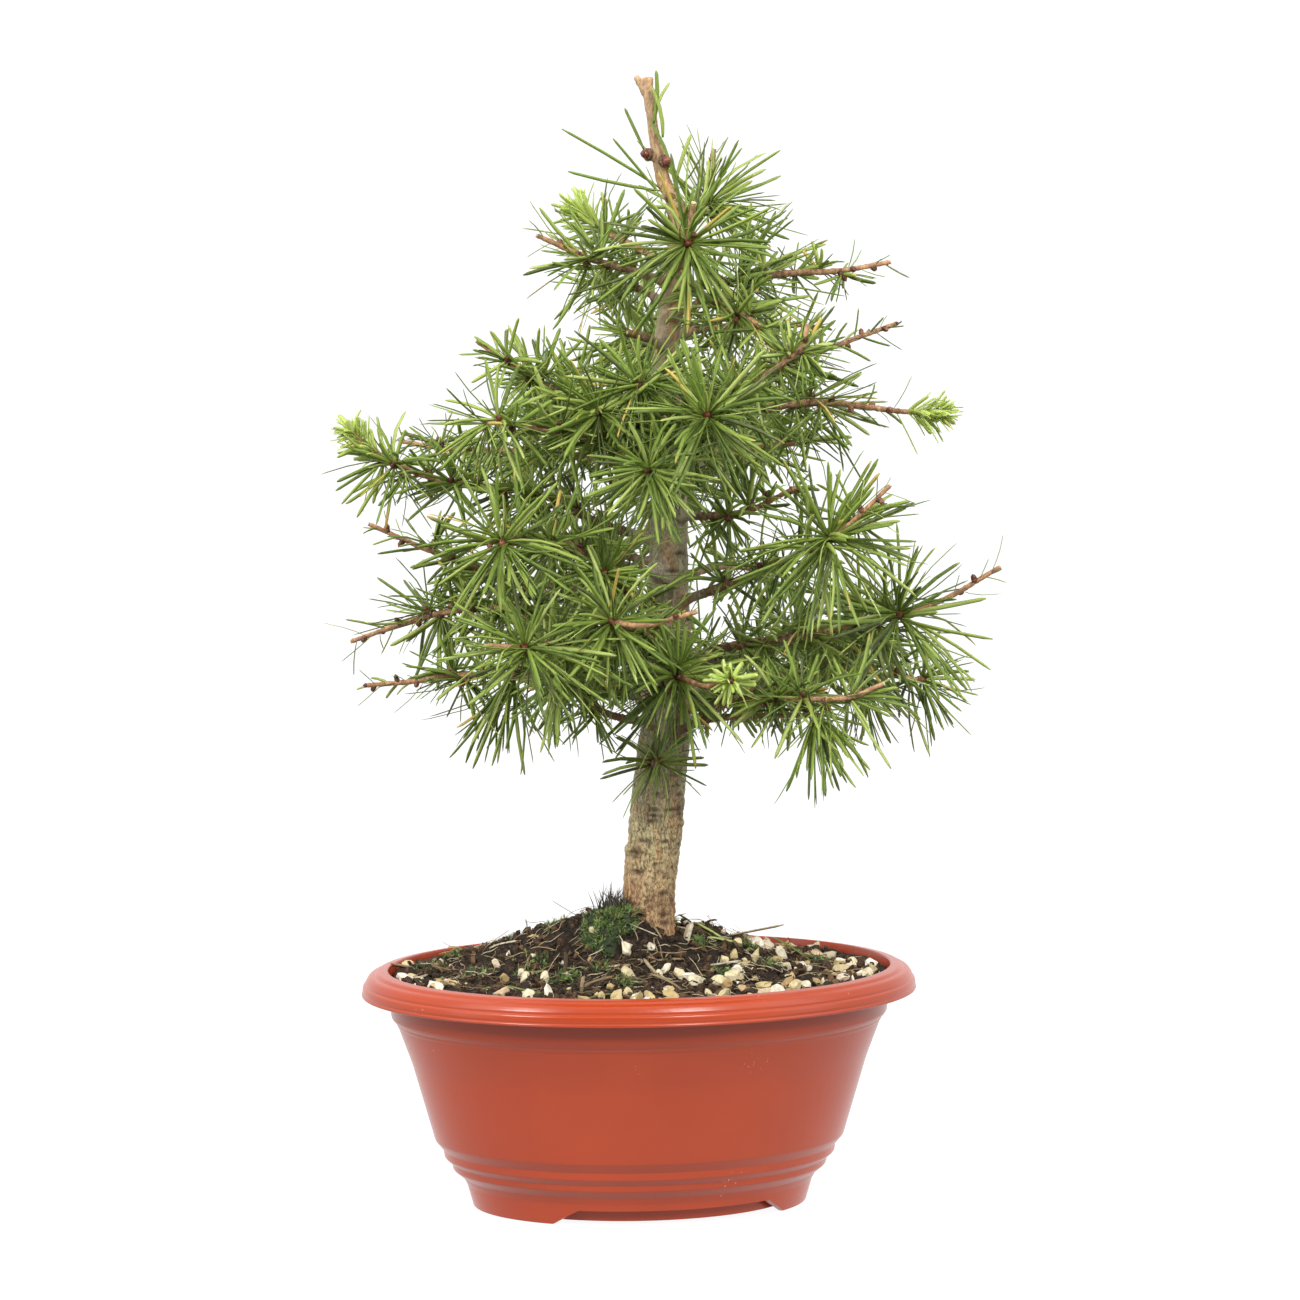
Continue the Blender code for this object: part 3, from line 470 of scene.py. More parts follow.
@dataclass(frozen=True)
class StudioPaper(Finish):
    """Plain white paper under and behind the object."""

    white: str = "#484848"
    glow: float = 0.93
    near_glow: float = 0.45
    near_mm: float = 120.0
    far_mm: float = 300.0

    def material(self) -> Material:
        """Build the paper: white to the eye, but it lights little except close to the pot."""
        material, tree, shader = self.begin()
        place = add_node(tree, "ShaderNodeTexCoord", out="Object")
        reach = add_node(tree, "ShaderNodeVectorMath", {0: place}, "Value", operation="LENGTH")
        near = add_node(
            tree, "ShaderNodeMapRange",
            {
                "Value": reach, "From Min": self.near_mm * MM, "From Max": self.far_mm * MM,
                "To Min": self.near_glow, "To Max": 0.0,
            },
        )
        ray = add_node(tree, "ShaderNodeLightPath").node.outputs
        seen = add_node(
            tree, "ShaderNodeMath", {0: ray["Is Camera Ray"], 1: ray["Is Glossy Ray"]},
            operation="MAXIMUM",
        )
        share = add_node(tree, "ShaderNodeMath", {0: seen, 1: near}, operation="MAXIMUM")
        glow = add_node(tree, "ShaderNodeMath", {0: share, 1: self.glow}, operation="MULTIPLY")
        shader.inputs["Base Color"].default_value = linear(self.white)
        shader.inputs["Emission Color"].default_value = (1.0, 1.0, 1.0, 1.0)
        tree.links.new(glow, shader.inputs["Emission Strength"])
        return material


PLASTIC = MouldedPolypropylene("moulded_polypropylene", 0.25, 1.49)
PEAT = CrumblyPeat("damp_peat", 0.92, 1.4)
GRIT = Tinted(
    "pumice_grit", 0.82, 1.5,
    shades=(
        (0.0, "#A28657"), (0.2, "#C8B27C"), (0.45, "#DFD0A6"), (0.7, "#ECE2C6"), (0.85, "#F4EEDF"),
        (1.0, "#C39C68"),
    ),
    foot="#3D2E20", foot_share=0.8, speckle="#8C7248", speckle_mm=1.6, speckle_share=0.5,
    relief_mm=0.4, bump=0.8,
)
CRUMB = Tinted(
    "peat_crumbs", 0.92, 1.4,
    shades=((0.0, "#120C08"), (0.5, "#2E2118"), (0.85, "#4C3828"), (1.0, "#6B5038")),
    speckle="#8A7152", speckle_mm=0.6, speckle_share=0.4, relief_mm=0.3, bump=0.7,
)
FIBRE = Tinted(
    "dry_root_fibres", 0.7, 1.45,
    shades=((0.0, "#2E2216"), (0.3, "#6B5538"), (0.65, "#B5A178"), (1.0, "#E6DCC2")),
    speckle="#4A3826", speckle_mm=1.5, speckle_share=0.5,
)
MOSS = Tinted(
    "moss_leaves", 0.6, 1.4,
    shades=((0.0, "#2A3B14"), (0.4, "#4E6A2A"), (0.75, "#7A9A46"), (1.0, "#B6CC7C")),
    foot="#1F210F", foot_share=0.8, dry="#A5965C", sheen=0.1,
)
BRISTLE = Tinted(
    "old_moss_bristles", 0.7, 1.4,
    shades=((0.0, "#1C1712"), (0.7, "#3C332A"), (1.0, "#8C8478")),
)
NEEDLE = Tinted(
    "larch_needles", 0.48, 1.42,
    shades=(
        (0.0, "#5F5C45"), (0.12, "#4A5B1D"), (0.4, "#708932"), (0.7, "#96AA4A"), (1.0, "#BBC876"),
    ),
    foot="#8E9E48", foot_share=0.3, dry="#CDB25C", speckle="#A0B266", speckle_mm=2.5,
    speckle_share=0.25, relief_mm=0.08, bump=0.25,
)
YOUNG_NEEDLE = Tinted(
    "young_needles", 0.45, 1.45,
    shades=((0.0, "#9CB548"), (0.6, "#B7CB60"), (1.0, "#D3DF88")),
    foot="#D9E7A0", foot_share=0.5, dry="#E9E07A", speckle="#E2F0AE", speckle_mm=2.0,
    speckle_share=0.3,
)
BUD = Tinted(
    "resinous_buds", 0.3, 1.5,
    shades=((0.0, "#4A1E12"), (0.6, "#763725"), (1.0, "#A0604A")),
    speckle="#2C140D", speckle_mm=0.8, speckle_share=0.6, relief_mm=0.2, bump=0.5,
)
KNOB = Tinted(
    "spur_scales", 0.7, 1.5,
    shades=((0.0, "#3C281B"), (0.6, "#6A4730"), (1.0, "#93683F")),
    speckle="#B99A74", speckle_mm=0.7, speckle_share=0.5, relief_mm=0.3, bump=0.7,
)
TRUNK_BARK = Bark(
    "larch_trunk_bark", 0.8, 1.45,
    ages=(
        (0.0, "#BD9468"), (0.06, "#C4A37A"), (0.13, "#DACA9A"), (0.18, "#CDC5A2"), (0.3, "#BDB49B"),
        (0.6, "#C8BCA4"), (0.8, "#C2A585"), (0.88, "#CAA47E"), (1.0, "#D2AF89"),
    ),
)
TWIG_BARK = Bark(
    "larch_twig_bark", 0.62, 1.45,
    ages=((0.0, "#73634F"), (0.35, "#917357"), (0.7, "#B0835F"), (1.0, "#C2916B")),
    fissure="#4A2E1E", scar="#3A2418", lichen="#C9A680", lichen_share=0.55, flake_mm=1.4,
)
CUT_WOOD = Tinted(
    "cut_larch_wood", 0.7, 1.5,
    shades=((0.0, "#CDA985"), (1.0, "#E0C7A6")), speckle="#8A6242", speckle_mm=0.8,
    speckle_share=0.6,
)
PAPER = StudioPaper("studio_paper", 0.9)


def select(*things: Object) -> None:
    """Select these objects alone, the first one active: an operator acts on all that is selected."""
    for thing in bpy.context.view_layer.objects:
        thing.select_set(False)
    for thing in things:
        thing.select_set(True)
    if things:
        bpy.context.view_layer.objects.active = things[0]


@contextmanager
def editing(thing: Object) -> Iterator[None]:
    """Hold one object alone in edit mode, with every vertex selected."""
    select(thing)
    bpy.ops.object.mode_set(mode="EDIT")
    bpy.ops.mesh.select_all(action="SELECT")
    yield
    bpy.ops.object.mode_set(mode="OBJECT")


def pick(thing: Object, test: Callable[[Vector], bool]) -> None:
    """Select the vertices in edit mode whose place passes a test."""
    bpy.ops.mesh.select_mode(type="VERT")
    bpy.ops.mesh.select_all(action="DESELECT")
    bm = bmesh.from_edit_mesh(thing.data)
    for vertex in bm.verts:
        vertex.select = test(vertex.co)
    bm.select_flush_mode()
    bmesh.update_edit_mesh(thing.data)


def apply_modifier(thing: Object, kind: str, **settings: object) -> None:
    """Add a modifier with its settings and apply it.

    Args:
        thing: The object it works on.
        kind: The modifier's type.
        settings: Its properties.
    """
    modifier = thing.modifiers.new(kind.lower(), kind)
    for name, value in settings.items():
        setattr(modifier, name, value)
    with bpy.context.temp_override(object=thing, active_object=thing):
        bpy.ops.object.modifier_apply(modifier=modifier.name)


def read_points(mesh: Mesh) -> np.ndarray:
    """Read a mesh's vertices as rows of x, y and z."""
    points = np.empty(len(mesh.vertices) * 3)
    mesh.vertices.foreach_get("co", points)
    return points.reshape(-1, 3)


def write_points(mesh: Mesh, points: np.ndarray) -> None:
    """Put moved vertices back into their mesh."""
    mesh.vertices.foreach_set("co", points.ravel())
    mesh.update()


def write_attribute(mesh: Mesh, name: str, values: np.ndarray) -> None:
    """Keep three numbers for each vertex as a colour that a material can read.

    Args:
        mesh: The mesh that gets it.
        name: The attribute's name.
        values: One row of three numbers for each vertex.
    """
    layer = mesh.color_attributes.new(name, "FLOAT_COLOR", "POINT")
    colours = np.ones((len(values), 4), np.float32)
    colours[:, :3] = values
    layer.data.foreach_set("color", colours.ravel())


def finish_piece(thing: Object, slot: str, *nodes: str) -> Object:
    """Let a finished piece ride on the frame and stand for its nodes.

    Args:
        thing: The piece, with its place in its mesh.
        slot: The record's material slot; not used.
        nodes: The CAD nodes that it replaces.

    Returns:
        The same piece.
    """
    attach(thing, "root")
    if nodes:
        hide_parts(*nodes)
    LOG.info("%s: %d faces", thing.name, len(thing.data.polygons))
    return thing


@dataclass
class Shape:
    """A small modelled shape kept as arrays, so that many copies can share one mesh."""

    points: np.ndarray
    corners: np.ndarray
    sizes: np.ndarray

    @classmethod
    def taken_from(cls, thing: Object) -> Shape:
        """Read a modelled object and remove it.

        Args:
            thing: The object, in the shape's own units.

        Returns:
            The shape.
        """
        mesh = thing.data
        corners = np.empty(len(mesh.loops), np.int32)
        mesh.loops.foreach_get("vertex_index", corners)
        sizes = np.empty(len(mesh.polygons), np.int32)
        mesh.polygons.foreach_get("loop_total", sizes)
        shape = cls(read_points(mesh), corners, sizes)
        bpy.data.objects.remove(thing, do_unlink=True)
        return shape


class Bunch:
    """Copies of small shapes gathered in one mesh, each with its finish and its tint."""

    def __init__(self, name: str) -> None:
        """Start an empty bunch under the piece's name."""
        self.name = name
        self.points: list[np.ndarray] = []
        self.corners: list[np.ndarray] = []
        self.sizes: list[np.ndarray] = []
        self.slots: list[np.ndarray] = []
        self.tints: list[np.ndarray] = []
        self.total = 0

    def add(self, shape: Shape, points: np.ndarray, tints: np.ndarray, slot: int) -> None:
        """Add copies of a shape.

        Args:
            shape: The shape whose faces the copies take.
            points: The copies' vertices in mm, as (copies, vertices, 3).
            tints: Their tints, in the same layout.
            slot: The number of the finish they wear.
        """
        copies, count = points.shape[:2]
        starts = self.total + np.arange(copies)[:, None] * count
        self.points.append(points.reshape(-1, 3) * MM)
        self.tints.append(tints.reshape(-1, 3))
        self.corners.append((shape.corners[None, :] + starts).ravel())
        self.sizes.append(np.tile(shape.sizes, copies))
        self.slots.append(np.full(copies * len(shape.sizes), slot))
        self.total += copies * count

    def build(
        self, finishes: Sequence[Material], crease: float = 180.0
    ) -> Object:
        """Make the bunch's object.

        Args:
            finishes: The materials that the slots count through.
            crease: The angle above which an edge is sharp, in degrees.

        Returns:
            The object, at the origin.
        """
        corners = np.concatenate(self.corners)
        sizes = np.concatenate(self.sizes)
        mesh = bpy.data.meshes.new(self.name)
        mesh.vertices.add(self.total)
        mesh.vertices.foreach_set("co", np.concatenate(self.points).ravel())
        mesh.loops.add(len(corners))
        mesh.loops.foreach_set("vertex_index", corners)
        mesh.polygons.add(len(sizes))
        mesh.polygons.foreach_set("loop_start", np.concatenate(([0], np.cumsum(sizes)[:-1])))
        mesh.polygons.foreach_set("material_index", np.concatenate(self.slots))
        mesh.update(calc_edges=True)
        for finish in finishes:
            mesh.materials.append(finish)
        write_attribute(mesh, "tint", np.concatenate(self.tints))
        mesh.shade_smooth()
        if crease < 180.0:
            mesh.set_sharp_from_angle(angle=math.radians(crease))
        thing = bpy.data.objects.new(self.name, mesh)
        bpy.context.scene.collection.objects.link(thing)
        return thing


def bent_copies(
    shape: Shape,
    roots: np.ndarray,
    directions: np.ndarray,
    sides: np.ndarray,
    sizes: np.ndarray,
    bends: np.ndarray,
    sways: np.ndarray | None = None,
) -> np.ndarray:
    """Set out copies of a slender shape that runs up its own Z from 0 to 1, and bend them.

    Args:
        shape: The slender shape, one unit wide.
        roots: Where each copy starts, in mm.
        directions: Which way each one leaves its root.
        sides: Which way its width lies.
        sizes: Length, width and thickness of each, in mm.
        bends: How far each tip is carried off the straight, in mm.
        sways: How far each is carried to and fro on its way, in mm.

    Returns:
        The copies' vertices in mm, as (copies, vertices, 3).
    """
    normals = unit(np.cross(directions, sides))
    sides = unit(np.cross(normals, directions))
    across, through, along = shape.points.T
    points = roots[:, None] + directions[:, None] * (sizes[:, :1] * along)[:, :, None]
    points = points + bends[:, None] * (along**2)[None, :, None]
    points += sides[:, None] * (sizes[:, 1:2] * across)[:, :, None]
    points += normals[:, None] * (sizes[:, 2:3] * through)[:, :, None]
    if sways is not None:
        points += sways[:, None] * np.sin(along * 2.6 * math.pi)[None, :, None]
    return points


def blade_tints(shape: Shape, tones: np.ndarray, dryness: np.ndarray) -> np.ndarray:
    """Tint copies of a slender shape, with a painted highlight along each blade's side edges.

    Args:
        shape: The slender shape.
        tones: A number from 0 to 1 for each copy.
        dryness: From 0, fresh, to 1, dry all along, for each copy.

    Returns:
        The tints, as (copies, vertices, 3).
    """
    tints = np.empty((len(tones), len(shape.points), 3))
    # The tone rises towards each blade's side edges and drops along its middle: a painted highlight on the
    # edges
    painted_edge_highlight = 0.6 * (np.abs(shape.points[:, 0]) - 0.25)
    tints[:, :, 0] = np.clip(tones[:, None] + painted_edge_highlight, 0.0, 1.0)
    tints[:, :, 1] = np.clip(shape.points[:, 2], 0.0, 1.0)
    tints[:, :, 2] = dryness[:, None]
    return tints


class Shapes:
    """The small shapes that repeat: each is modelled once here."""

    NEEDLE_CUTS = ((0.08, 0.74), (0.3, 1.0), (0.62, 1.0), (0.93, 0.84))
    NEEDLE_ENDS = (0.45, 0.3)
    # A spur's foot is a short stack of scale rings
    KNOB_CUTS = ((0.2, 1.18), (0.3, 1.0), (0.5, 1.18), (0.6, 1.0), (0.8, 1.18), (0.9, 1.0))
    KNOB_ENDS = (1.0, 0.7)

    def __init__(self) -> None:
        """Model every shape."""
        self.needle = self.blade(4, self.NEEDLE_CUTS, self.NEEDLE_ENDS)
        self.leaf = self.blade(3, ((0.4, 1.0),), (0.7, 0.08))
        self.strand = self.blade(3, [(share / 7.0, 1.0) for share in range(1, 7)], (0.8, 0.4))
        self.bud = self.ball(9, 6, 0.35)
        self.knob = self.blade(9, self.KNOB_CUTS, self.KNOB_ENDS)
        self.stones = [self.lump(2, seed, 0.5, 1.3, 8) for seed in range(7)]
        self.crumbs = [self.lump(1, seed + 20, 0.6, 1.6, 2) for seed in range(5)]

    def blade(
        self, sides: int, cuts: Sequence[tuple[float, float]], ends: tuple[float, float]
    ) -> Shape:
        """Model a slender shape that runs up Z from 0 to 1.

        Args:
            sides: How many sides it has round.
            cuts: Height and width of each ring between its ends.
            ends: Width at the root and at the tip.

        Returns:
            The shape, one unit wide and thick.
        """
        select()
        bpy.ops.mesh.primitive_cylinder_add(
            vertices=sides, radius=0.5, depth=1.0, location=(0.0, 0.0, 0.5)
        )
        thing = bpy.context.active_object
        bpy.ops.object.transform_apply(location=True, rotation=False, scale=False)
        widths = {0.0: ends[0], 1.0: ends[1], **dict(cuts)}
        with editing(thing):
            for height, _ in cuts:
                bpy.ops.mesh.select_all(action="SELECT")
                bpy.ops.mesh.bisect(plane_co=(0.0, 0.0, height), plane_no=(0.0, 0.0, 1.0))
            for height, width in widths.items():
                pick(thing, lambda point, level=height: abs(point.z - level) < 1e-4)
                bpy.ops.transform.resize(
                    value=(width, width, 1.0), center_override=(0.0, 0.0, height)
                )
        return Shape.taken_from(thing)

    def ball(self, segments: int, rings: int, point: float) -> Shape:
        """Model a bud: a round body drawn up to a soft point.

        Args:
            segments: Faces round it.
            rings: Faces up it.
            point: How far the top is drawn up.

        Returns:
            The shape, one unit across.
        """
        select()
        bpy.ops.mesh.primitive_uv_sphere_add(segments=segments, ring_count=rings, radius=0.5)
        thing = bpy.context.active_object
        with editing(thing):
            pick(thing, lambda place: place.z > 0.45)
            bpy.ops.transform.translate(value=(0.0, 0.0, point * 0.5))
            pick(thing, lambda place: place.z < -0.2)
            bpy.ops.transform.resize(value=(0.85, 0.85, 1.0), center_override=(0.0, 0.0, -0.3))
        return Shape.taken_from(thing)

    def lump(
        self, subdivisions: int, seed: int, depth: float, scale: float, chips: int
    ) -> Shape:
        """Model a rough stone or crumb.

        Args:
            subdivisions: How fine its faces are.
            seed: Which lump it is.
            depth: How far its surface is pushed in and out.
            scale: How fine the pushing is.
            chips: How many flat faces are broken off it.

        Returns:
            The shape, about one unit across.
        """
        select()
        bpy.ops.mesh.primitive_ico_sphere_add(subdivisions=subdivisions, radius=0.5)
        thing = bpy.context.active_object
        draw = random.Random(seed)
        for vertex in thing.data.vertices:
            spot = vertex.co * (scale * 2.0) + Vector((seed * 3.7, seed * 1.3, 0.0))
            vertex.co *= 1.0 + depth * noise.noise(spot) + 0.1 * noise.noise(spot * 3.0)
        for _ in range(chips):
            outwards = Vector([draw.gauss(0.0, 1.0) for _ in range(3)]).normalized()
            reach = draw.uniform(0.22, 0.36)
            for vertex in thing.data.vertices:
                vertex.co -= outwards * max(0.0, vertex.co.dot(outwards) - reach)
        return Shape.taken_from(thing)


class Route:
    """A smooth curve through a limb's points, read at any distance along it."""

    STEP = 1.0

    def __init__(self, points: Sequence[np.ndarray], overrun: float = 0.0) -> None:
        """Run the curve.

        Args:
            points: The places it goes through, in mm.
            overrun: How far it goes on past the last one, in mm.
        """
        ends = [2.0 * points[0] - points[1], *points, 2.0 * points[-1] - points[-2]]
        curve = []
        self.at_points = []
        for before, start, end, after in zip(ends, ends[1:], ends[2:], ends[3:]):
            self.at_points.append(len(curve))
            steps = max(2, round(float(np.linalg.norm(end - start)) / self.STEP))
            for share in np.arange(steps) / steps:
                curve.append(self.between(before, start, end, after, share))
        self.at_points.append(len(curve))
        curve.append(points[-1])
        last = unit(points[-1] - curve[-2])
        extra = math.ceil(overrun / self.STEP)
        curve += [points[-1] + last * overrun * (i + 1) / extra for i in range(extra)]
        self.points = np.array(curve)
        gaps = np.linalg.norm(np.diff(self.points, axis=0), axis=1)
        self.stations = np.concatenate(([0.0], np.cumsum(gaps)))
        self.length = float(self.stations[-1])

    @staticmethod
    def between(
        before: np.ndarray, start: np.ndarray, end: np.ndarray, after: np.ndarray, share: float
    ) -> np.ndarray:
        """A point on the smooth stretch between two points, given their neighbours."""
        first = (end - before) * 0.5
        second = (after - start) * 0.5
        square, cube = share**2, share**3
        point = start * (2 * cube - 3 * square + 1) + first * (cube - 2 * square + share)
        return point + end * (3 * square - 2 * cube) + second * (cube - square)

    def at(self, station: float) -> np.ndarray:
        """The point at a distance along the route, in mm."""
        return np.array([np.interp(station, self.stations, axis) for axis in self.points.T])

    def tangent(self, station: float) -> np.ndarray:
        """The direction of the route at a distance along it."""
        return unit(self.at(station + 1.5) - self.at(station - 1.5) + 1e-9)

    def nearest(self, points: np.ndarray) -> np.ndarray:
        """The distance along the route that lies nearest to each of some points."""
        gaps = np.linalg.norm(points[:, None] - self.points[None, ::2], axis=2)
        return self.stations[::2][gaps.argmin(axis=1)]


TRUNK_ROUTE = Route([placed(right, 0.0, up) for right, up, _ in TRUNK])


def trunk_radius(height: np.ndarray | float) -> np.ndarray:
    """The trunk's radius at a height, both in mm."""
    return np.interp(height, [up for _, up, _ in TRUNK], [radius for _, _, radius in TRUNK])


def trunk_centre(height: np.ndarray | float) -> np.ndarray:
    """The trunk's centre line at a height, in mm."""
    heights = TRUNK_ROUTE.points[:, 2]
    axes = [np.interp(height, heights, TRUNK_ROUTE.points[:, axis]) for axis in (0, 1)]
    return np.stack([*axes, np.asarray(height, float)], axis=-1)


def curve_tube(
    name: str, points: np.ndarray, radii: np.ndarray, resolution: int
) -> Object:
    """Model a round tube along a route, from a bevelled curve.

    Args:
        name: The object's name.
        points: The route, in mm.
        radii: The radius at each of its points, in mm.
        resolution: The bevel's resolution, which gives twice as many sides and four more.

    Returns:
        The closed tube as a mesh object.
    """
    curve = bpy.data.curves.new(name, "CURVE")
    curve.dimensions = "3D"
    curve.bevel_depth = MM
    curve.bevel_resolution = resolution
    curve.use_fill_caps = True
    spline = curve.splines.new("POLY")
    spline.points.add(len(points) - 1)
    rows = np.ones((len(points), 4))
    rows[:, :3] = points * MM
    spline.points.foreach_set("co", rows.ravel())
    spline.points.foreach_set("radius", radii)
    thing = bpy.data.objects.new(name, curve)
    bpy.context.scene.collection.objects.link(thing)
    select(thing)
    bpy.ops.object.convert(target="MESH")
    return bpy.context.active_object


def spun_oval(name: str, section: Sequence[Sequence[float]], steps: int) -> Object:
    """Spin a section round the pot's middle and draw it out to the pot's oval.

    Args:
        name: The object's name.
        section: Half-length and height of each point, from axis to axis, in mm.
        steps: How many steps the turn has.

    Returns:
        The closed body.
    """
    mesh = bpy.data.meshes.new(name)
    points = [(half * MM, 0.0, height * MM) for half, height in section]
    mesh.from_pydata(points, [(i, i + 1) for i in range(len(points) - 1)], [])
    body = bpy.data.objects.new(name, mesh)
    bpy.context.scene.collection.objects.link(body)
    with editing(body):
        bpy.ops.mesh.spin(steps=steps, angle=2.0 * math.pi, center=(0.0, 0.0, 0.0), axis=(0.0, 0.0, 1.0))
        bpy.ops.mesh.select_all(action="SELECT")
        bpy.ops.mesh.remove_doubles(threshold=1e-6)
        bpy.ops.mesh.normals_make_consistent(inside=False)
    write_points(mesh, read_points(mesh) * (1.0, POT_RATIO, 1.0) + POT_CENTRE * MM)
    return body


def join(things: Sequence[Object], name: str) -> Object:
    """Join mesh objects in one.

    Args:
        things: The objects.
        name: The name of the one that is left.

    Returns:
        The joined object.
    """
    select(*things)
    bpy.ops.object.join()
    joined = bpy.context.active_object
    joined.name = name
    return joined


@dataclass
class Pot:
    """The moulded oval pot: lip, wall, scalloped foot, feet, base ring and floor.

    Profiles hold (half-length, height) in mm, and each corner's rounding.
    """

    outer: Rows = (
        (65.4, 0.0, 0.4), (67.9, 8.5, 2.0), (69.5, 11.3, 0.4), (73.4, 14.4, 1.8),
        (73.8, 16.7, 0.3), (76.7, 19.2, 1.6), (77.1, 22.1, 0.3), (80.3, 25.8, 2.6),
        (89.2, 56.0, 60.0), (94.6, 70.3, 1.0), (97.2, 74.0, 1.6), (98.8, 85.6, 0.8),
    )
    lip: Rows = (
        (100.6, 88.2, 0.8), (106.9, 82.1, 0.5), (108.9, 82.0, 0.8), (108.2, 86.0, 3.0),
        (106.0, 89.6, 3.0), (102.4, 91.5, 3.0), (98.6, 92.0, 0.7),
    )
    inner: Rows = (
        (96.9, 85.0, 1.0), (95.4, 74.8, 3.0), (87.4, 56.4, 60.0), (78.4, 26.6, 4.0),
        (67.2, 14.2, 3.0), (66.0, 9.5, 1.0),
    )
    floor_under: float = 7.5
    wall: float = 1.8
    ring: tuple[float, float, float] = (58.0, 60.5, 1.2)
    # Fine moulding lines as (height, reach along the profile, depth), cut where depth is positive
    lines: Rows = (
        (83.6, 0.4, 0.34), (86.9, 0.45, 0.42), (90.7, 0.4, 0.38), (71.9, 0.5, 0.3),
    )
    arch_height: float = 6.0
    arch_span: tuple[float, float] = (-135.0, -45.0)
    arch_slant: float = 10.5
    drains: Rows = (
        (30.0, 15.0), (30.0, -15.0), (-30.0, 15.0), (-30.0, -15.0),
    )
    drain_radius: float = 4.5
    steps: int = 120

    @staticmethod
    def rounded(corners: Sequence[tuple[float, float, float]]) -> list[np.ndarray]:
        """Round a profile's corners with arcs.

        Args:
            corners: Half-length, height and rounding of each corner.

        Returns:
            The profile's points.
        """
        places = [np.array(corner[:2]) for corner in corners]
        rounded = [places[0]]
        for before, corner, after, spec in zip(places, places[1:], places[2:], corners[1:]):
            inwards, outwards = unit(before - corner), unit(after - corner)
            bend = math.acos(float(np.clip(inwards @ outwards, -1.0, 1.0)))
            room = 0.48 * min(np.linalg.norm(before - corner), np.linalg.norm(after - corner))
            cut = min(spec[2] / math.tan(bend / 2.0), room)
            for share in np.linspace(0.0, 1.0, 6):
                near = corner + inwards * cut * (1.0 - share)
                far = corner + outwards * cut * share
                rounded.append(near * (1.0 - share) + far * share)
        rounded.append(places[-1])
        return rounded

    def profile(self) -> np.ndarray:
        """The closed profile of the pot's section, with its fine lines, in mm."""
        half, lift = self.outer[0][0] - self.wall, self.floor_under
        inside, outside, ring_lift = self.ring
        start = (
            (inside, lift, 0.0), (inside, ring_lift, 0.4), (outside, ring_lift, 0.4),
            (outside, lift, 0.4), (half, lift, 0.4), (half, 0.0, 0.3),
        )
        points = self.rounded((*start, *self.outer, *self.lip, *self.inner))
        dense = [points[0]]
        for previous, point in zip(points, points[1:]):
            upper = 70.0 < point[1] < 92.5 and point[0] > 90.0
            count = max(1, math.ceil(float(np.linalg.norm(point - previous)) / (0.3 if upper else 3.0)))
            dense += [previous + (point - previous) * (i + 1) / count for i in range(count)]
        dense = np.array(dense)
        tangents = np.gradient(dense, axis=0)
        outwards = unit(np.stack([tangents[:, 1], -tangents[:, 0]], axis=1))
        for height, reach, depth in self.lines:
            on_face = (outwards[:, 0] > 0.0) | (outwards[:, 1] > 0.7)
            dip = np.exp(-(((dense[:, 1] - height) / reach) ** 2)) * on_face * (dense[:, 0] > 90.0)
            dense = dense - outwards * (dip * depth)[:, None]
        return dense

    def arch_cutter(self, middle_turn: float) -> Object:
        """A curved wedge with slanted ends that opens the skirt between two feet.

        Args:
            middle_turn: Which side of the pot it opens, in radians.

        Returns:
            The cutter.
        """
        inner = 0.5 * (self.ring[1] + self.outer[0][0] - self.wall)
        outer = self.outer[0][0] + 4.0
        start, end = (math.radians(angle) for angle in self.arch_span)
        slant = math.radians(self.arch_slant)
        steps = 32
        points, faces = [], []
        for share in np.arange(steps + 1) / steps:
            for half, height in ((inner, -1), (outer, -1), (outer, 1), (inner, 1)):
                rise = self.arch_height if height > 0 else -1.0
                lean = slant * rise / self.arch_height
                angle = middle_turn + (start + lean) * (1.0 - share) + (end - lean) * share
                points.append((half * math.cos(angle), half * POT_RATIO * math.sin(angle), rise))
        for step in range(steps):
            for side in range(4):
                a, b = step * 4 + side, step * 4 + (side + 1) % 4
                faces.append((a, b, b + 4, a + 4))
        faces += [(3, 2, 1, 0), tuple(steps * 4 + side for side in range(4))]
        mesh = bpy.data.meshes.new("arch")
        mesh.from_pydata((np.array(points) + POT_CENTRE) * MM, [], faces)
        cutter = bpy.data.objects.new("arch", mesh)
        bpy.context.scene.collection.objects.link(cutter)
        with editing(cutter):
            bpy.ops.mesh.normals_make_consistent(inside=False)
        return cutter

    def cut(self, pot: Object) -> None:
        """Open the arches and the drain holes.

        Args:
            pot: The spun pot.
        """
        cutters = [self.arch_cutter(0.0), self.arch_cutter(math.pi)]
        for right, back in self.drains:
            select()
            bpy.ops.mesh.primitive_cylinder_add(
                vertices=32, radius=self.drain_radius * MM, depth=12.0 * MM,
                location=(np.array((right, back, self.floor_under)) + POT_CENTRE) * MM,
            )
            cutters.append(bpy.context.active_object)
        for cutter in cutters:
            apply_modifier(pot, "BOOLEAN", operation="DIFFERENCE", object=cutter, solver="EXACT")
            bpy.data.objects.remove(cutter, do_unlink=True)

    def build(self) -> Object:
        """Spin the profile, draw it out to an oval and cut the arches and drains."""
        profile = self.profile()
        closed = np.vstack(([[0.0, profile[0][1]]], profile, [[0.0, profile[-1][1]]]))
        pot = spun_oval("pot_shell", closed, self.steps)
        mesh = pot.data
        self.cut(pot)
        mesh.materials.clear()
        mesh.materials.append(PLASTIC.material())
        mesh.shade_smooth()
        mesh.set_sharp_from_angle(angle=math.radians(32.0))
        return finish_piece(pot, "pot_plastic", "pot")


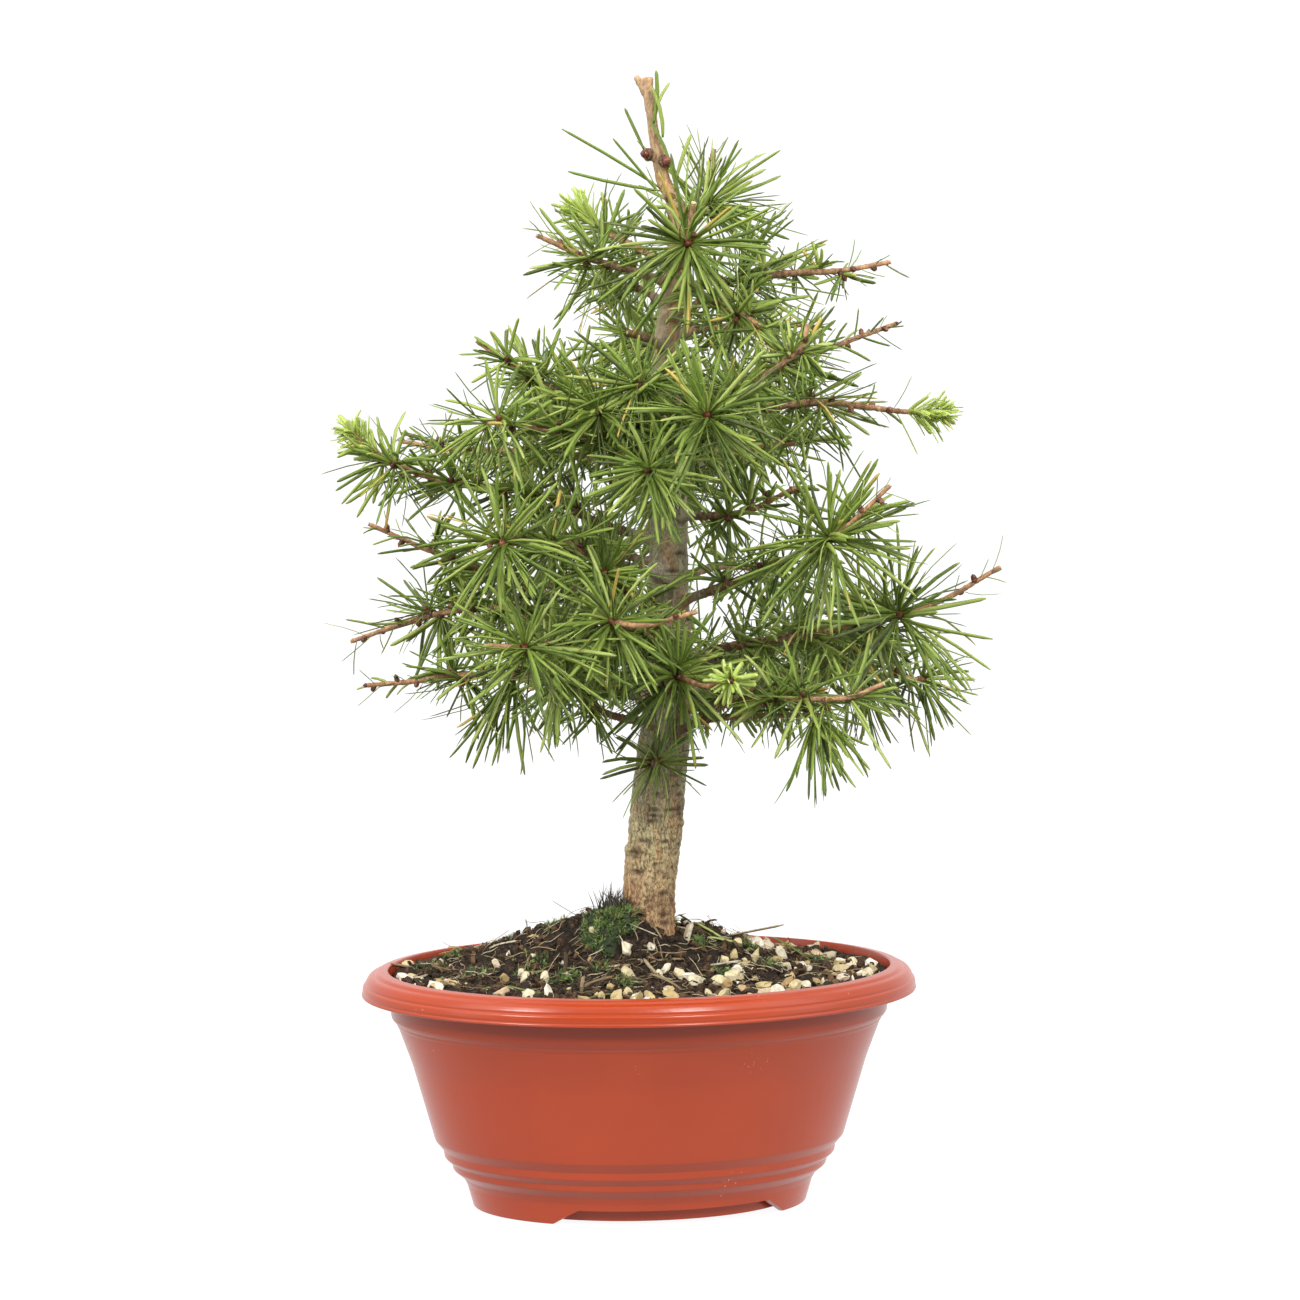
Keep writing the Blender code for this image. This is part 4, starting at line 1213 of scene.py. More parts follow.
@dataclass
class SoilBed:
    """The peat mound that fills the pot, with its grit, crumbs, fibres and litter."""

    edge_height: float = 88.6
    mound_place: tuple[float, float] = (0.0, 6.0)
    mound_height: float = 16.5
    mound_spread: tuple[float, float] = (32.0, 27.0)
    knoll_place: tuple[float, float] = (-15.0, 6.0)
    knoll_height: float = 6.5
    knoll_spread: float = 13.0
    wall: Rows = (
        (95.0, 84.0), (94.9, 74.8), (86.9, 56.4), (77.9, 26.6), (66.7, 14.2), (65.5, 9.8),
    )
    rim_half: float = 96.9
    roughness: float = 1.5
    # Low heaps on the mound: right, back, half-widths across and in depth, and height
    heaps: Rows = (
        (-46.0, 6.0, 20.0, 15.0, 7.0), (30.0, 16.0, 18.0, 14.0, 4.0), (-1.0, -14.0, 7.0, 6.0, 8.0),
    )
    # What lies on top: right, back, lift, turn and tilt in degrees, length, width and tone
    debris: Rows = (
        (18.0, -6.0, -1.0, 60.0, 72.0, 8.0, 3.6, 0.8), (33.0, 8.0, 0.5, 4.0, 11.0, 23.0, 1.4, 0.6),
        (-88.0, 2.0, 0.5, 170.0, 8.0, 9.0, 2.2, 0.4), (-22.0, -2.0, 1.0, 160.0, 26.0, 15.0, 0.35, 0.3),
        (26.0, -24.0, 1.0, 20.0, 6.0, 13.0, 1.8, 0.9), (-60.0, 6.0, 1.0, 35.0, 30.0, 12.0, 0.5, 0.8),
        (60.0, -6.0, 1.0, 150.0, 10.0, 15.0, 1.4, 0.5), (-38.0, 0.0, 1.0, 20.0, 34.0, 9.0, 0.5, 0.7),
        (-8.0, -20.0, 4.0, -70.0, -20.0, 11.0, 0.6, 0.95), (-4.0, -18.0, 4.0, -30.0, -15.0, 14.0, 0.7, 0.9),
        (-14.0, -22.0, 3.0, -120.0, -10.0, 9.0, 0.5, 1.0), (4.0, -14.0, 3.0, -60.0, -24.0, 12.0, 1.2, 0.35),
    )
    steps: int = 230
    stones: int = 460
    crumbs: int = 2300
    fibres: int = 760
    seed: int = 21
    draw: np.random.Generator = field(init=False)

    def __post_init__(self) -> None:
        """Start the seeded draw."""
        self.draw = np.random.default_rng(self.seed)

    def height(self, points: np.ndarray) -> np.ndarray:
        """The mound's smooth height in mm under some points of the frame, in mm."""
        cos, sin = math.cos(FRONT_TURN), math.sin(FRONT_TURN)
        x, y = points[..., 0] - POT_CENTRE[0], points[..., 1] - POT_CENTRE[1]
        right, back = x * cos - y * sin, x * sin + y * cos
        mound = ((right - self.mound_place[0]) / self.mound_spread[0]) ** 2
        mound = mound + ((back - self.mound_place[1]) / self.mound_spread[1]) ** 2
        knoll = (right - self.knoll_place[0]) ** 2 + (back - self.knoll_place[1]) ** 2
        rise = self.mound_height * np.exp(-0.5 * mound)
        rise += self.knoll_height * np.exp(-0.5 * knoll / self.knoll_spread**2)
        for place_right, place_back, wide, deep, high in self.heaps:
            gap = ((right - place_right) / wide) ** 2 + ((back - place_back) / deep) ** 2
            rise += high * np.exp(-0.5 * gap)
        return self.edge_height + rise + 0.8 * np.sin(right * 0.19) * np.cos(back * 0.23)

    def spot(self, inner: float = 0.0, outer: float = 0.97) -> np.ndarray:
        """Draw a place on the soil.

        Args:
            inner: Least share of the way from the pot's centre to its wall.
            outer: Greatest share.

        Returns:
            The place in the frame, in mm, at the mound's height.
        """
        turn = self.draw.uniform(0.0, 2.0 * math.pi)
        share = math.sqrt(self.draw.uniform(inner**2, outer**2)) * self.rim_half
        place = POT_CENTRE + (share * math.cos(turn), share * POT_RATIO * math.sin(turn), 0.0)
        place[2] = self.height(place)
        return place

    def build_mound(self) -> Object:
        """Spin the mound's section, draw it to the pot's oval and crumble its top."""
        top = [(half, self.edge_height) for half in np.linspace(0.0, self.rim_half - 0.4, 84)]
        soil = spun_oval("soil_bed", (*top, *self.wall, (0.0, 9.8)), self.steps)
        mesh = soil.data
        points = read_points(mesh) / MM
        on_top = points[:, 2] > self.edge_height - 0.1
        for i in np.flatnonzero(on_top):
            point = points[i]
            spot = Vector(point) * 0.35
            rough = noise.fractal(spot, 0.7, 2.1, 4) * self.roughness
            rough += 0.9 * abs(noise.noise(Vector(point) * 0.9))
            edge = np.hypot(point[0] - POT_CENTRE[0], (point[1] - POT_CENTRE[1]) / POT_RATIO)
            fade = 0.35 if edge > self.rim_half - 2.0 else 1.0
            points[i, 2] = self.height(point) + rough * fade
        write_points(mesh, points * MM)
        mesh.materials.append(PEAT.material())
        mesh.shade_smooth()
        return finish_piece(soil, "peat_soil", "soil")

    def lumps(
        self, bunch: Bunch, shapes: Sequence[Shape], count: int, sizes: tuple[float, float],
        sink: float, wanted: Callable[[np.ndarray], float],
    ) -> None:
        """Scatter stones or crumbs over the mound.

        Args:
            bunch: The bunch that gets them.
            shapes: The lumps to choose from.
            count: How many are tried.
            sizes: Least and greatest size, in mm.
            sink: Share of its size by which each is sunk.
            wanted: Chance that a place keeps what is drawn there.
        """
        for index in range(count):
            place = self.spot()
            if self.draw.random() > wanted(place):
                continue
            shape = shapes[index % len(shapes)]
            size = sizes[0] + (sizes[1] - sizes[0]) * self.draw.random() ** 1.4
            turn = Matrix(np.linalg.qr(self.draw.normal(size=(3, 3)))[0])
            stretch = np.array((1.0, self.draw.uniform(0.55, 1.0), self.draw.uniform(0.4, 0.8)))
            points = (shape.points * stretch * size) @ np.array(turn)
            place[2] += size * (0.5 - sink) * 0.7
            tone = np.zeros((1, len(points), 3))
            tone[:, :, 0] = self.draw.random()
            tone[:, :, 1] = 0.5 + points[:, 2] / size
            bunch.add(shape, (points + place)[None], tone, 0)

    def grit_chance(self, place: np.ndarray) -> float:
        """Grit lies thick at the front and right, and thin on the mound and by the moss."""
        local = place - POT_CENTRE
        centre = trunk_centre(100.0)
        near = float(np.hypot(place[0] - centre[0], place[1] - centre[1]))
        chance = 0.75 - 0.35 * (local[1] > 10.0) + 0.2 * (local[0] > 10.0) - 0.25 * (local[0] < -45.0)
        return 0.0 if near < 14.0 else chance * (0.3 if near < 30.0 else 1.0)

    def strands(
        self, bunch: Bunch, shape: Shape, count: int, lengths: tuple[float, float],
        widths: tuple[float, float], lift: float, wave: float, slot: int,
    ) -> None:
        """Lay fibres, straws or needles over the mound.

        Args:
            bunch: The bunch that gets them.
            shape: Their slender shape.
            count: How many.
            lengths: Least and greatest length, in mm.
            widths: Least and greatest width, in mm.
            lift: Greatest height of a root above the mound, in mm.
            wave: How far they wander sideways, as a share of their length.
            slot: The finish they wear.
        """
        roots = np.array([self.spot(outer=0.9) for _ in range(count)])
        roots[:, 2] = self.draw.uniform(0.4, 0.4 + lift, count)
        turns = self.draw.uniform(0.0, 2.0 * math.pi, count)
        raised = self.draw.random(count) < 0.14
        tilts = np.where(raised, self.draw.uniform(0.3, 1.1, count), self.draw.uniform(-0.06, 0.16, count))
        directions = unit(np.stack([np.cos(turns), np.sin(turns), tilts], axis=1))
        sides = unit(np.cross(UP, directions))
        long = self.draw.uniform(*lengths, count)
        wide = self.draw.uniform(*widths, count)
        sizes = np.stack([long, wide, wide * 0.7], axis=1)
        bends = sides * (self.draw.normal(size=count) * wave * 2.0 * long)[:, None]
        fall = np.where(raised, 0.25, 1.0) * tilts * long
        bends = bends - UP * (fall + self.draw.uniform(0.0, 0.6, count))[:, None]
        sways = sides * (self.draw.normal(size=count) * wave * long)[:, None]
        sways += UP * (self.draw.uniform(0.0, 0.5, count) * wave * long)[:, None]
        points = bent_copies(shape, roots, directions, sides, sizes, bends, sways)
        reach = np.hypot(points[..., 0] - POT_CENTRE[0], (points[..., 1] - POT_CENTRE[1]) / POT_RATIO)
        inside = reach.max(axis=1) < self.rim_half - 0.6
        points[..., 2] = np.maximum(points[..., 2], 0.3) + self.height(points)
        dry = self.draw.uniform(0.0, 0.2, count)
        tints = blade_tints(shape, self.draw.random(count), dry)
        bunch.add(shape, points[inside], tints[inside], slot)

    def build_litter(self, shapes: Shapes) -> None:
        """Scatter the grit, the crumbs, the fibres and what the tree has dropped."""
        grit = Bunch("grit_stones")
        self.lumps(grit, shapes.stones, self.stones, (3.0, 9.2), 0.26, self.grit_chance)
        finish_piece(grit.build([GRIT.material()], 24.0), "peat_soil")
        crumbs = Bunch("peat_crumbs")
        self.lumps(crumbs, shapes.crumbs, self.crumbs, (1.0, 4.8), 0.05, lambda _: 1.0)
        finish_piece(crumbs.build([CRUMB.material()], 30.0), "peat_soil")
        litter = Bunch("root_fibres")
        self.strands(litter, shapes.strand, self.fibres, (3.0, 12.0), (0.22, 0.5), 2.8, 0.08, 0)
        self.strands(litter, shapes.strand, 46, (6.0, 16.0), (0.9, 2.0), 2.0, 0.02, 0)
        self.strands(litter, shapes.needle, 14, (12.0, 20.0), (1.1, 1.4), 2.2, 0.04, 1)
        self.lay_debris(litter, shapes.strand)
        finish_piece(litter.build([FIBRE.material(), NEEDLE.material()]), "peat_soil")

    def lay_debris(self, bunch: Bunch, shape: Shape) -> None:
        """Lay the twig stub, the curled twig and the chips that the photograph shows.

        Args:
            bunch: The bunch that gets them.
            shape: Their slender shape.
        """
        right, back, lift, turn, tilt, long, wide, tones = np.array(self.debris).T
        roots = np.array([placed(*place) for place in zip(right, back, lift)])
        roots[:, 2] += self.height(roots)
        turn, tilt = np.radians(turn) - FRONT_TURN, np.radians(tilt)
        flat = np.stack([np.cos(turn), np.sin(turn), np.zeros(len(turn))], axis=1)
        directions = flat * np.cos(tilt)[:, None] + UP * np.sin(tilt)[:, None]
        sides = unit(np.cross(directions, UP + 0.1))
        sizes = np.stack([long, wide, wide * 0.8], axis=1)
        bends = sides * (long * 0.12)[:, None]
        points = bent_copies(shape, roots, directions, sides, sizes, bends)
        bunch.add(shape, points, blade_tints(shape, tones, np.zeros(len(tones))), 0)


@dataclass
class Moss:
    """The moss cushion at the trunk's foot, the thin patches near it and old bristles."""

    soil: SoilBed
    place: tuple[float, float] = (-11.5, -11.0)
    radius: float = 10.4
    height: float = 4.0
    tufts: int = 380
    tuft_leaves: int = 7
    patches: Rows = (
        (22.0, -6.0, 5.0), (-5.0, -46.0, 6.0), (33.0, -30.0, 5.5), (-28.0, -36.0, 7.0),
        (-40.0, -22.0, 6.0), (50.0, -12.0, 5.0), (-14.0, -30.0, 5.0), (40.0, 4.0, 5.0),
        (-52.0, 20.0, 6.0), (14.0, 40.0, 7.0), (-20.0, 46.0, 6.0), (-80.0, -6.0, 6.0),
        (-62.0, -22.0, 7.0), (-72.0, 12.0, 6.0), (-34.0, 4.0, 5.0), (70.0, 16.0, 5.0),
    )
    bristles: int = 150
    seed: int = 8

    def dome(self) -> Object:
        """Model the cushion's body: a ball flattened on the mound, with lumps."""
        select()
        bpy.ops.mesh.primitive_uv_sphere_add(segments=48, ring_count=28, radius=1.0)
        body = bpy.context.active_object
        points = read_points(body.data)
        centre = placed(*self.place, 0.0)
        lumps = np.array([
            noise.noise(Vector(point) * 2.2) + 0.5 * noise.noise(Vector(point) * 5.5) for point in points
        ])
        flat = points.copy()
        flat[:, 2] = np.maximum(points[:, 2], -0.2)
        shaped = flat * (self.radius, self.radius, self.height + 1.0) * (1.0 + 0.34 * lumps[:, None])
        shaped += centre
        shaped[:, 2] += self.soil.height(shaped) + 0.8
        write_points(body.data, shaped * MM)
        body.name = "moss_cushion"
        return body

    def build(self, shapes: Shapes) -> None:
        """Grow the leaves on the cushion and the patches, and stand the bristles up."""
        draw = np.random.default_rng(self.seed)
        body = self.dome()
        body.data.materials.append(MOSS.material())
        write_attribute(body.data, "tint", np.full((len(body.data.vertices), 3), (0.0, 0.1, 0.0)))
        body.data.shade_smooth()
        finish_piece(body, "moss_green", "moss")
        surface = read_points(body.data) / MM
        upper = surface[surface[:, 2] > self.soil.height(surface) + 0.6]
        roots = [upper[draw.integers(len(upper))] + draw.normal(0.0, 0.4, 3) for _ in range(self.tufts)]
        outwards = [unit(root - placed(*self.place, 96.0)) for root in roots]
        for right, back, radius in self.patches:
            for _ in range(int(radius * 5)):
                spread = draw.normal(0.0, radius * 0.45, 2)
                root = placed(right + spread[0], back + spread[1], 0.0)
                root[2] = self.soil.height(root) + draw.uniform(0.4, 1.6)
                roots.append(root)
                outwards.append(unit(UP + 0.6 * draw.normal(size=3)))
        tones = draw.normal(0.42, 0.24, len(roots)).repeat(self.tuft_leaves)
        roots = np.array(roots).repeat(self.tuft_leaves, 0)
        outwards = np.array(outwards).repeat(self.tuft_leaves, 0)
        count = len(roots)
        directions = unit(0.9 * outwards + 0.62 * draw.normal(size=(count, 3)))
        sides = unit(np.cross(directions, draw.normal(size=(count, 3))))
        sizes = np.stack([
            draw.uniform(1.3, 3.1, count), draw.uniform(0.35, 0.62, count), np.full(count, 0.25)
        ], axis=1)
        bends = draw.normal(0.0, 0.35, (count, 3))
        leaves = Bunch("moss_leaves")
        points = bent_copies(shapes.leaf, roots, directions, sides, sizes, bends)
        tones = np.clip(tones + draw.normal(0.0, 0.08, count), 0.0, 1.0)
        dryness = np.where(draw.random(count) < 0.2, draw.uniform(0.2, 1.0, count), 0.0)
        leaves.add(shapes.leaf, points, blade_tints(shapes.leaf, tones, dryness), 0)
        finish_piece(leaves.build([MOSS.material()]), "moss_green")
        self.stand_bristles(shapes, draw)

    def stand_bristles(self, shapes: Shapes, draw: np.random.Generator) -> None:
        """Stand dark old bristles between the cushion and the trunk.

        Args:
            shapes: The modelled shapes.
            draw: The moss's seeded draw.
        """
        count = self.bristles
        roots = np.array([
            placed(draw.normal(-11.0, 2.8), draw.normal(-4.5, 2.8), 0.0) for _ in range(count)
        ])
        roots[:, 2] = self.soil.height(roots) + 3.0
        directions = unit(UP + draw.normal(0.0, 0.28, (count, 3)) - 0.15 * placed(1.0, 0.0, 0.0) / 10.0)
        sides = unit(np.cross(directions, draw.normal(size=(count, 3))))
        long = draw.uniform(4.0, 11.5, count)
        sizes = np.stack([long, np.full(count, 0.6), np.full(count, 0.45)], axis=1)
        bends = draw.normal(0.0, 1.0, (count, 3))
        bunch = Bunch("old_bristles")
        points = bent_copies(shapes.leaf, roots, directions, sides, sizes, bends)
        bunch.add(shapes.leaf, points, blade_tints(shapes.leaf, draw.random(count), np.zeros(count)), 0)
        finish_piece(bunch.build([BRISTLE.material()]), "moss_green")


@dataclass
class Limb:
    """One limb: its route, its thickness and what grows on it."""

    name: str
    height: float
    spurs: tuple[tuple[float, float, float, Spur, float], ...]
    root_radius: float = 2.1
    tip_radius: float = 0.85
    wood_reach: float = 18.0
    route: Route = field(init=False)

    def __post_init__(self) -> None:
        """Run the limb's route from the trunk's centre line through its points."""
        start = trunk_centre(self.height)
        self.route = Route([start, *(placed(*spur[:3]) for spur in self.spurs)], 2.4)
        if self.name == "trunk_spur":
            self.wood_reach = 12.0

    def radius(self, stations: np.ndarray) -> np.ndarray:
        """The limb's radius at some distances along it, in mm, without its bumps."""
        share = np.clip(stations / max(self.route.length, 60.0), 0.0, 1.0)
        return self.root_radius + (self.tip_radius - self.root_radius) * share**0.8

    def station_of(self, index: int) -> float:
        """The distance along the route of one of the listed points, counted from 1."""
        return float(self.route.stations[self.route.at_points[index]])


@dataclass
class Trunk:
    """Trunk, leader and the inner wood of every limb, fused and covered with bark."""

    limbs: Sequence[Limb]
    voxel: float = 0.63
    knots: Rows = (
        (-3.6, -4.6, 138.0, 2.6), (14.4, -3.0, 148.0, 2.6), (3.2, -1.6, 404.0, 2.0),
        (9.6, -1.6, 401.0, 2.0), (14.0, -3.2, 386.0, 2.6),
    )
    stub: Rows = ((3.4, 0.0, 425.0), (-1.6, 0.0, 434.5))
    stub_radius: float = 1.3
    # Dark scars on the front: to the right of the trunk's middle, up, half-width and half-height
    seen_scars: Rows = (
        (-6.5, 137.0, 2.4, 2.2), (-2.0, 149.5, 2.6, 1.1), (8.6, 153.5, 2.6, 1.6), (4.0, 141.5, 1.4, 0.8),
        (-4.5, 129.5, 2.2, 1.0), (5.5, 121.0, 3.4, 0.9), (-7.5, 117.0, 3.8, 1.5), (1.5, 104.0, 3.4, 1.1),
        (7.0, 109.5, 2.6, 0.9), (-2.5, 110.0, 4.2, 0.8), (-1.0, 160.0, 2.2, 0.8), (6.0, 163.0, 1.8, 0.7),
    )
    scars: int = 60
    fissure_depth: float = 0.5
    crack_width: float = 0.13
    hair_width: float = 0.11
    wrinkle_top: float = 175.0
    leader_foot: float = 384.0
    seed: int = 4

    def cores(self) -> list[Object]:
        """Model the tubes and knots that grow together."""
        heights = TRUNK_ROUTE.points[:, 2]
        cores = [curve_tube("trunk", TRUNK_ROUTE.points, trunk_radius(heights), 8)]
        for limb in self.limbs:
            inner = limb.route.stations <= limb.wood_reach
            points, stations = limb.route.points[inner], limb.route.stations[inner]
            collar = 1.0 + 0.55 * np.exp(-((stations - trunk_radius(limb.height)) / 2.5) ** 2)
            cores.append(curve_tube("wood", points, limb.radius(stations) * collar, 4))
        ends = np.array([placed(*place) for place in self.stub])
        cores.append(curve_tube("stub", ends, np.full(2, self.stub_radius), 3))
        for right, back, up, radius in self.knots:
            select()
            bpy.ops.mesh.primitive_ico_sphere_add(
                subdivisions=3, radius=radius * MM, location=placed(right, back, up) * MM
            )
            cores.append(bpy.context.active_object)
        return cores

    def scar_marks(self) -> list[tuple[np.ndarray, float, float]]:
        """Draw the short level scars: place on the bark, half-width and half-height."""
        draw = random.Random(self.seed)
        marks = []
        for _ in range(self.scars):
            height = draw.uniform(104.0, 330.0) if draw.random() < 0.5 else draw.uniform(104.0, 180.0)
            turn = draw.uniform(0.0, 2.0 * math.pi)
            outwards = np.array((math.cos(turn), math.sin(turn), 0.0))
            place = trunk_centre(height) + outwards * float(trunk_radius(height))
            marks.append((place, draw.uniform(1.2, 3.6), draw.uniform(0.4, 0.9)))
        for right, up, wide, high in self.seen_scars:
            spread = min(abs(right / float(trunk_radius(up))), 0.98)
            back = -math.sqrt(1.0 - spread**2) * float(trunk_radius(up))
            marks.append((trunk_centre(up) + placed(right, back, 0.0) - POT_CENTRE, wide, high))
        return marks

    def roughen(self, mesh: Mesh) -> None:
        """Cut the bark's fissures and scars, and keep them for the material.

        Args:
            mesh: The fused and smoothed wood.
        """
        points = read_points(mesh) / MM
        normals = np.empty(len(points) * 3)
        mesh.vertex_normals.foreach_get("vector", normals)
        normals = normals.reshape(-1, 3)
        heights = points[:, 2]
        radii = trunk_radius(heights)
        out = np.linalg.norm(points - trunk_centre(heights), axis=1)
        strength = np.clip(radii / 9.0, 0.2, 1.0) * np.where(out > radii + 1.6, 0.35, 1.0)
        strength = np.where(heights > self.leader_foot, 0.8, strength)
        lumps, cracks, hair, grain = np.empty((4, len(points)))
        for i, (x, y, z) in enumerate(points):
            lumps[i] = noise.noise((x * 0.16, y * 0.16, z * 0.11))
            drift = noise.noise((x * 0.3, y * 0.3, z * 0.2)) * 1.4
            rise = 0.17 * min(z, self.leader_foot) + 0.03 * max(z - self.leader_foot, 0.0)
            cracks[i] = abs(noise.noise((x * 0.62 + drift, y * 0.62 - drift, rise)))
            hair[i] = abs(noise.noise((x * 1.15 + 7.0 + drift, y * 1.15, rise * 2.4)))
            grain[i] = noise.noise((x * 1.3, y * 1.3, z * 0.7))
        fissures = np.clip(1.0 - cracks / self.crack_width, 0.0, 1.0) ** 1.3
        fissures = np.maximum(fissures, 0.7 * np.clip(1.0 - hair / self.hair_width, 0.0, 1.0))
        shift = 0.6 * lumps + 0.3 * grain + 0.2 - fissures * self.fissure_depth
        scars = np.zeros(len(points))
        for place, wide, high in self.scar_marks():
            gap = points - place
            level = np.hypot(gap[:, 0], gap[:, 1]) / wide
            scars = np.maximum(scars, np.exp(-(level**2) - (gap[:, 2] / high) ** 2))
        wrinkles = np.array([noise.noise((x * 0.22, y * 0.22, z * 0.75)) for x, y, z in points])
        shift = shift - 0.45 * scars - 0.7 * np.clip(wrinkles, 0.0, 1.0) * (heights < self.wrinkle_top)
        write_points(mesh, (points + normals * (shift * strength)[:, None]) * MM)
        share = np.clip((heights - 100.0) / 335.0, 0.0, 1.0)
        dark = np.clip(fissures * 0.55 * strength + np.clip(-grain, 0.0, 1.0) * 0.35, 0.0, 1.0)
        write_attribute(mesh, "relief", np.stack([dark, scars * 0.92, share], axis=1))

    def build(self) -> Object:
        """Fuse the wood, smooth it and cover it with bark."""
        wood = join(self.cores(), "trunk_wood")
        select(wood)
        bpy.ops.object.transform_apply(location=True, rotation=True, scale=True)
        apply_modifier(wood, "REMESH", mode="VOXEL", voxel_size=self.voxel * MM)
        apply_modifier(wood, "SMOOTH", factor=0.5, iterations=3)
        self.roughen(wood.data)
        wood.data.materials.clear()
        wood.data.materials.append(TRUNK_BARK.material())
        wood.data.shade_smooth()
        return finish_piece(wood, "larch_bark", "trunk")


class Growth:
    """Grows the needles, buds and knobs of one spray into its bunch."""

    NEEDLE_WIDTH = (1.25, 1.85)
    THIN_WIDTH = (0.45, 0.85)
    THIN_SHARE = 0.25
    NEEDLE_THICKNESS = 0.5
    # Shares of needles that are dry all along, or only yellowed at the tip
    DRY_SHARE = 0.025
    TIPPED_SHARE = 0.16
    SPUR_GAP = 12.5

    def __init__(self, limb: Limb, shapes: Shapes, draw: np.random.Generator) -> None:
        """Start a spray.

        Args:
            limb: The limb that it grows on.
            shapes: The modelled shapes.
            draw: The crown's seeded draw.
        """
        self.limb = limb
        self.route = limb.route
        self.shapes = shapes
        self.draw = draw
        self.bunch = Bunch(f"{limb.name}_leaves")
        self.droop = 0.16 - 0.1 * min(max((limb.height - 190.0) / 120.0, 0.0), 1.0)
        self.turn = draw.uniform(0.0, 2.0 * math.pi)

    def clear_of_trunk(self, points: np.ndarray) -> np.ndarray:
        """Tell which copies stay outside the trunk."""
        centres = trunk_centre(points[..., 2])
        gaps = np.hypot(points[..., 0] - centres[..., 0], points[..., 1] - centres[..., 1])
        room = trunk_radius(points[..., 2]) + 0.3
        below_top = points[..., 2] < TRUNK[-1][1]
        return ~((gaps < room) & below_top).any(axis=1)

    def needles(
        self, roots: np.ndarray, directions: np.ndarray, outwards: np.ndarray,
        lengths: np.ndarray, slot: int = 0, width: float = 1.0, curl: float = 0.18,
    ) -> None:
        """Add needles that leave their roots in given directions.

        Args:
            roots: Where they start, in mm.
            directions: Which way they leave.
            outwards: The spur's own direction, which their flat side faces.
            lengths: How long they are, in mm.
            slot: The finish they wear.
            width: How wide they are against a full-grown needle.
            curl: Share of their length by which they curve.
        """
        count = len(roots)
        flat = np.cross(directions, outwards)
        sides = unit(flat + 0.5 * self.draw.normal(size=(count, 3)))
        thin = self.draw.random(count) < self.THIN_SHARE
        wide = np.where(
            thin, self.draw.uniform(*self.THIN_WIDTH, count), self.draw.uniform(*self.NEEDLE_WIDTH, count)
        )
        sizes = np.stack([lengths, wide * width, np.full(count, self.NEEDLE_THICKNESS * width)], axis=1)
        arch = unit(np.cross(directions, sides)) * self.draw.normal(0.0, curl, count)[:, None]
        sink = self.draw.uniform(0.1, 1.5, count)[:, None] * self.droop
        bends = (arch * np.where(thin, 1.7, 1.0)[:, None] - UP * sink) * lengths[:, None]
        bends += sides * (self.draw.normal(0.0, 0.15, count) * lengths)[:, None]
        shape = self.shapes.needle
        points = bent_copies(shape, roots, directions, sides, sizes, bends)
        picked = self.draw.random(count)
        dryness = np.where(picked < self.TIPPED_SHARE, self.draw.uniform(0.12, 0.22, count), 0.0)
        dryness = np.where(picked < self.DRY_SHARE, self.draw.uniform(0.2, 1.1, count), dryness)
        tones = np.clip(self.draw.normal(0.56, 0.24, count), 0.12, 1.0)
        tones = np.where(thin, self.draw.uniform(0.0, 0.5, count), tones)
        tints = blade_tints(shape, tones, dryness)
        kept = self.clear_of_trunk(points[:, 4:])
        if kept.any():
            self.bunch.add(shape, points[kept], tints[kept], slot)

    def tuft(
        self, base: np.ndarray, axis: np.ndarray, count: int, length: float,
        tilts: tuple[float, float] = (14.0, 94.0), slot: int = 0, width: float = 1.0,
        knob: float = 2.2,
    ) -> None:
        """Grow one rosette: a scaly knob, a bud and the needles round it.

        Args:
            base: Where the spur leaves the twig, in mm.
            axis: Which way it points.
            count: How many needles it has.
            length: How long they are, in mm.
            tilts: Angles from the axis of the innermost and outermost needles.
            slot: The finish of the needles.
            width: How wide they are against a full-grown needle.
            knob: Length of the spur's foot, in mm.
        """
        across = unit(np.cross(axis, UP + 0.01))
        other = np.cross(axis, across)
        numbers = np.arange(count)
        shares = ((numbers + 0.5) / count) ** 0.62
        tilt = np.radians(tilts[0] + (tilts[1] - tilts[0]) * shares + self.draw.normal(0.0, 10.0, count))
        turn = numbers * GOLDEN_ANGLE + self.draw.normal(0.0, 0.5, count)
        around = across * np.cos(turn)[:, None] + other * np.sin(turn)[:, None]
        directions = unit(axis * np.cos(tilt)[:, None] + around * np.sin(tilt)[:, None])
        roots = base + axis * knob * 0.95 + around * 0.85 - axis * shares[:, None] * 0.5
        lengths = length * self.draw.triangular(0.55, 1.0, 1.14, count)
        self.needles(roots, directions, axis[None].repeat(count, 0), lengths, slot, width)
        self.lump(self.shapes.knob, base - axis * 0.4, axis, (2.6, knob + 0.6), 3)
        self.bud(base + axis * (knob + 0.9), axis, 2.3 + 0.018 * count)

    def bud(self, place: np.ndarray, axis: np.ndarray, size: float) -> None:
        """Add a bud along a direction."""
        self.lump(self.shapes.bud, place, axis, (size, size * 1.05), 2)

    def lump(
        self, shape: Shape, place: np.ndarray, axis: np.ndarray, size: tuple[float, float], slot: int
    ) -> None:
        """Add a small rounded shape along a direction.

        Args:
            shape: The modelled shape.
            place: Where it stands, in mm.
            axis: Which way it points.
            size: Its width and length, in mm.
            slot: The finish it wears.
        """
        across = unit(np.cross(axis, UP + 0.01))
        frame = np.stack([across, np.cross(axis, across), axis])
        points = (shape.points * (size[0], size[0], size[1])) @ frame + place
        tints = np.full((1, len(points), 3), (self.draw.random(), 0.5, 0.0))
        self.bunch.add(shape, points[None], tints, slot)

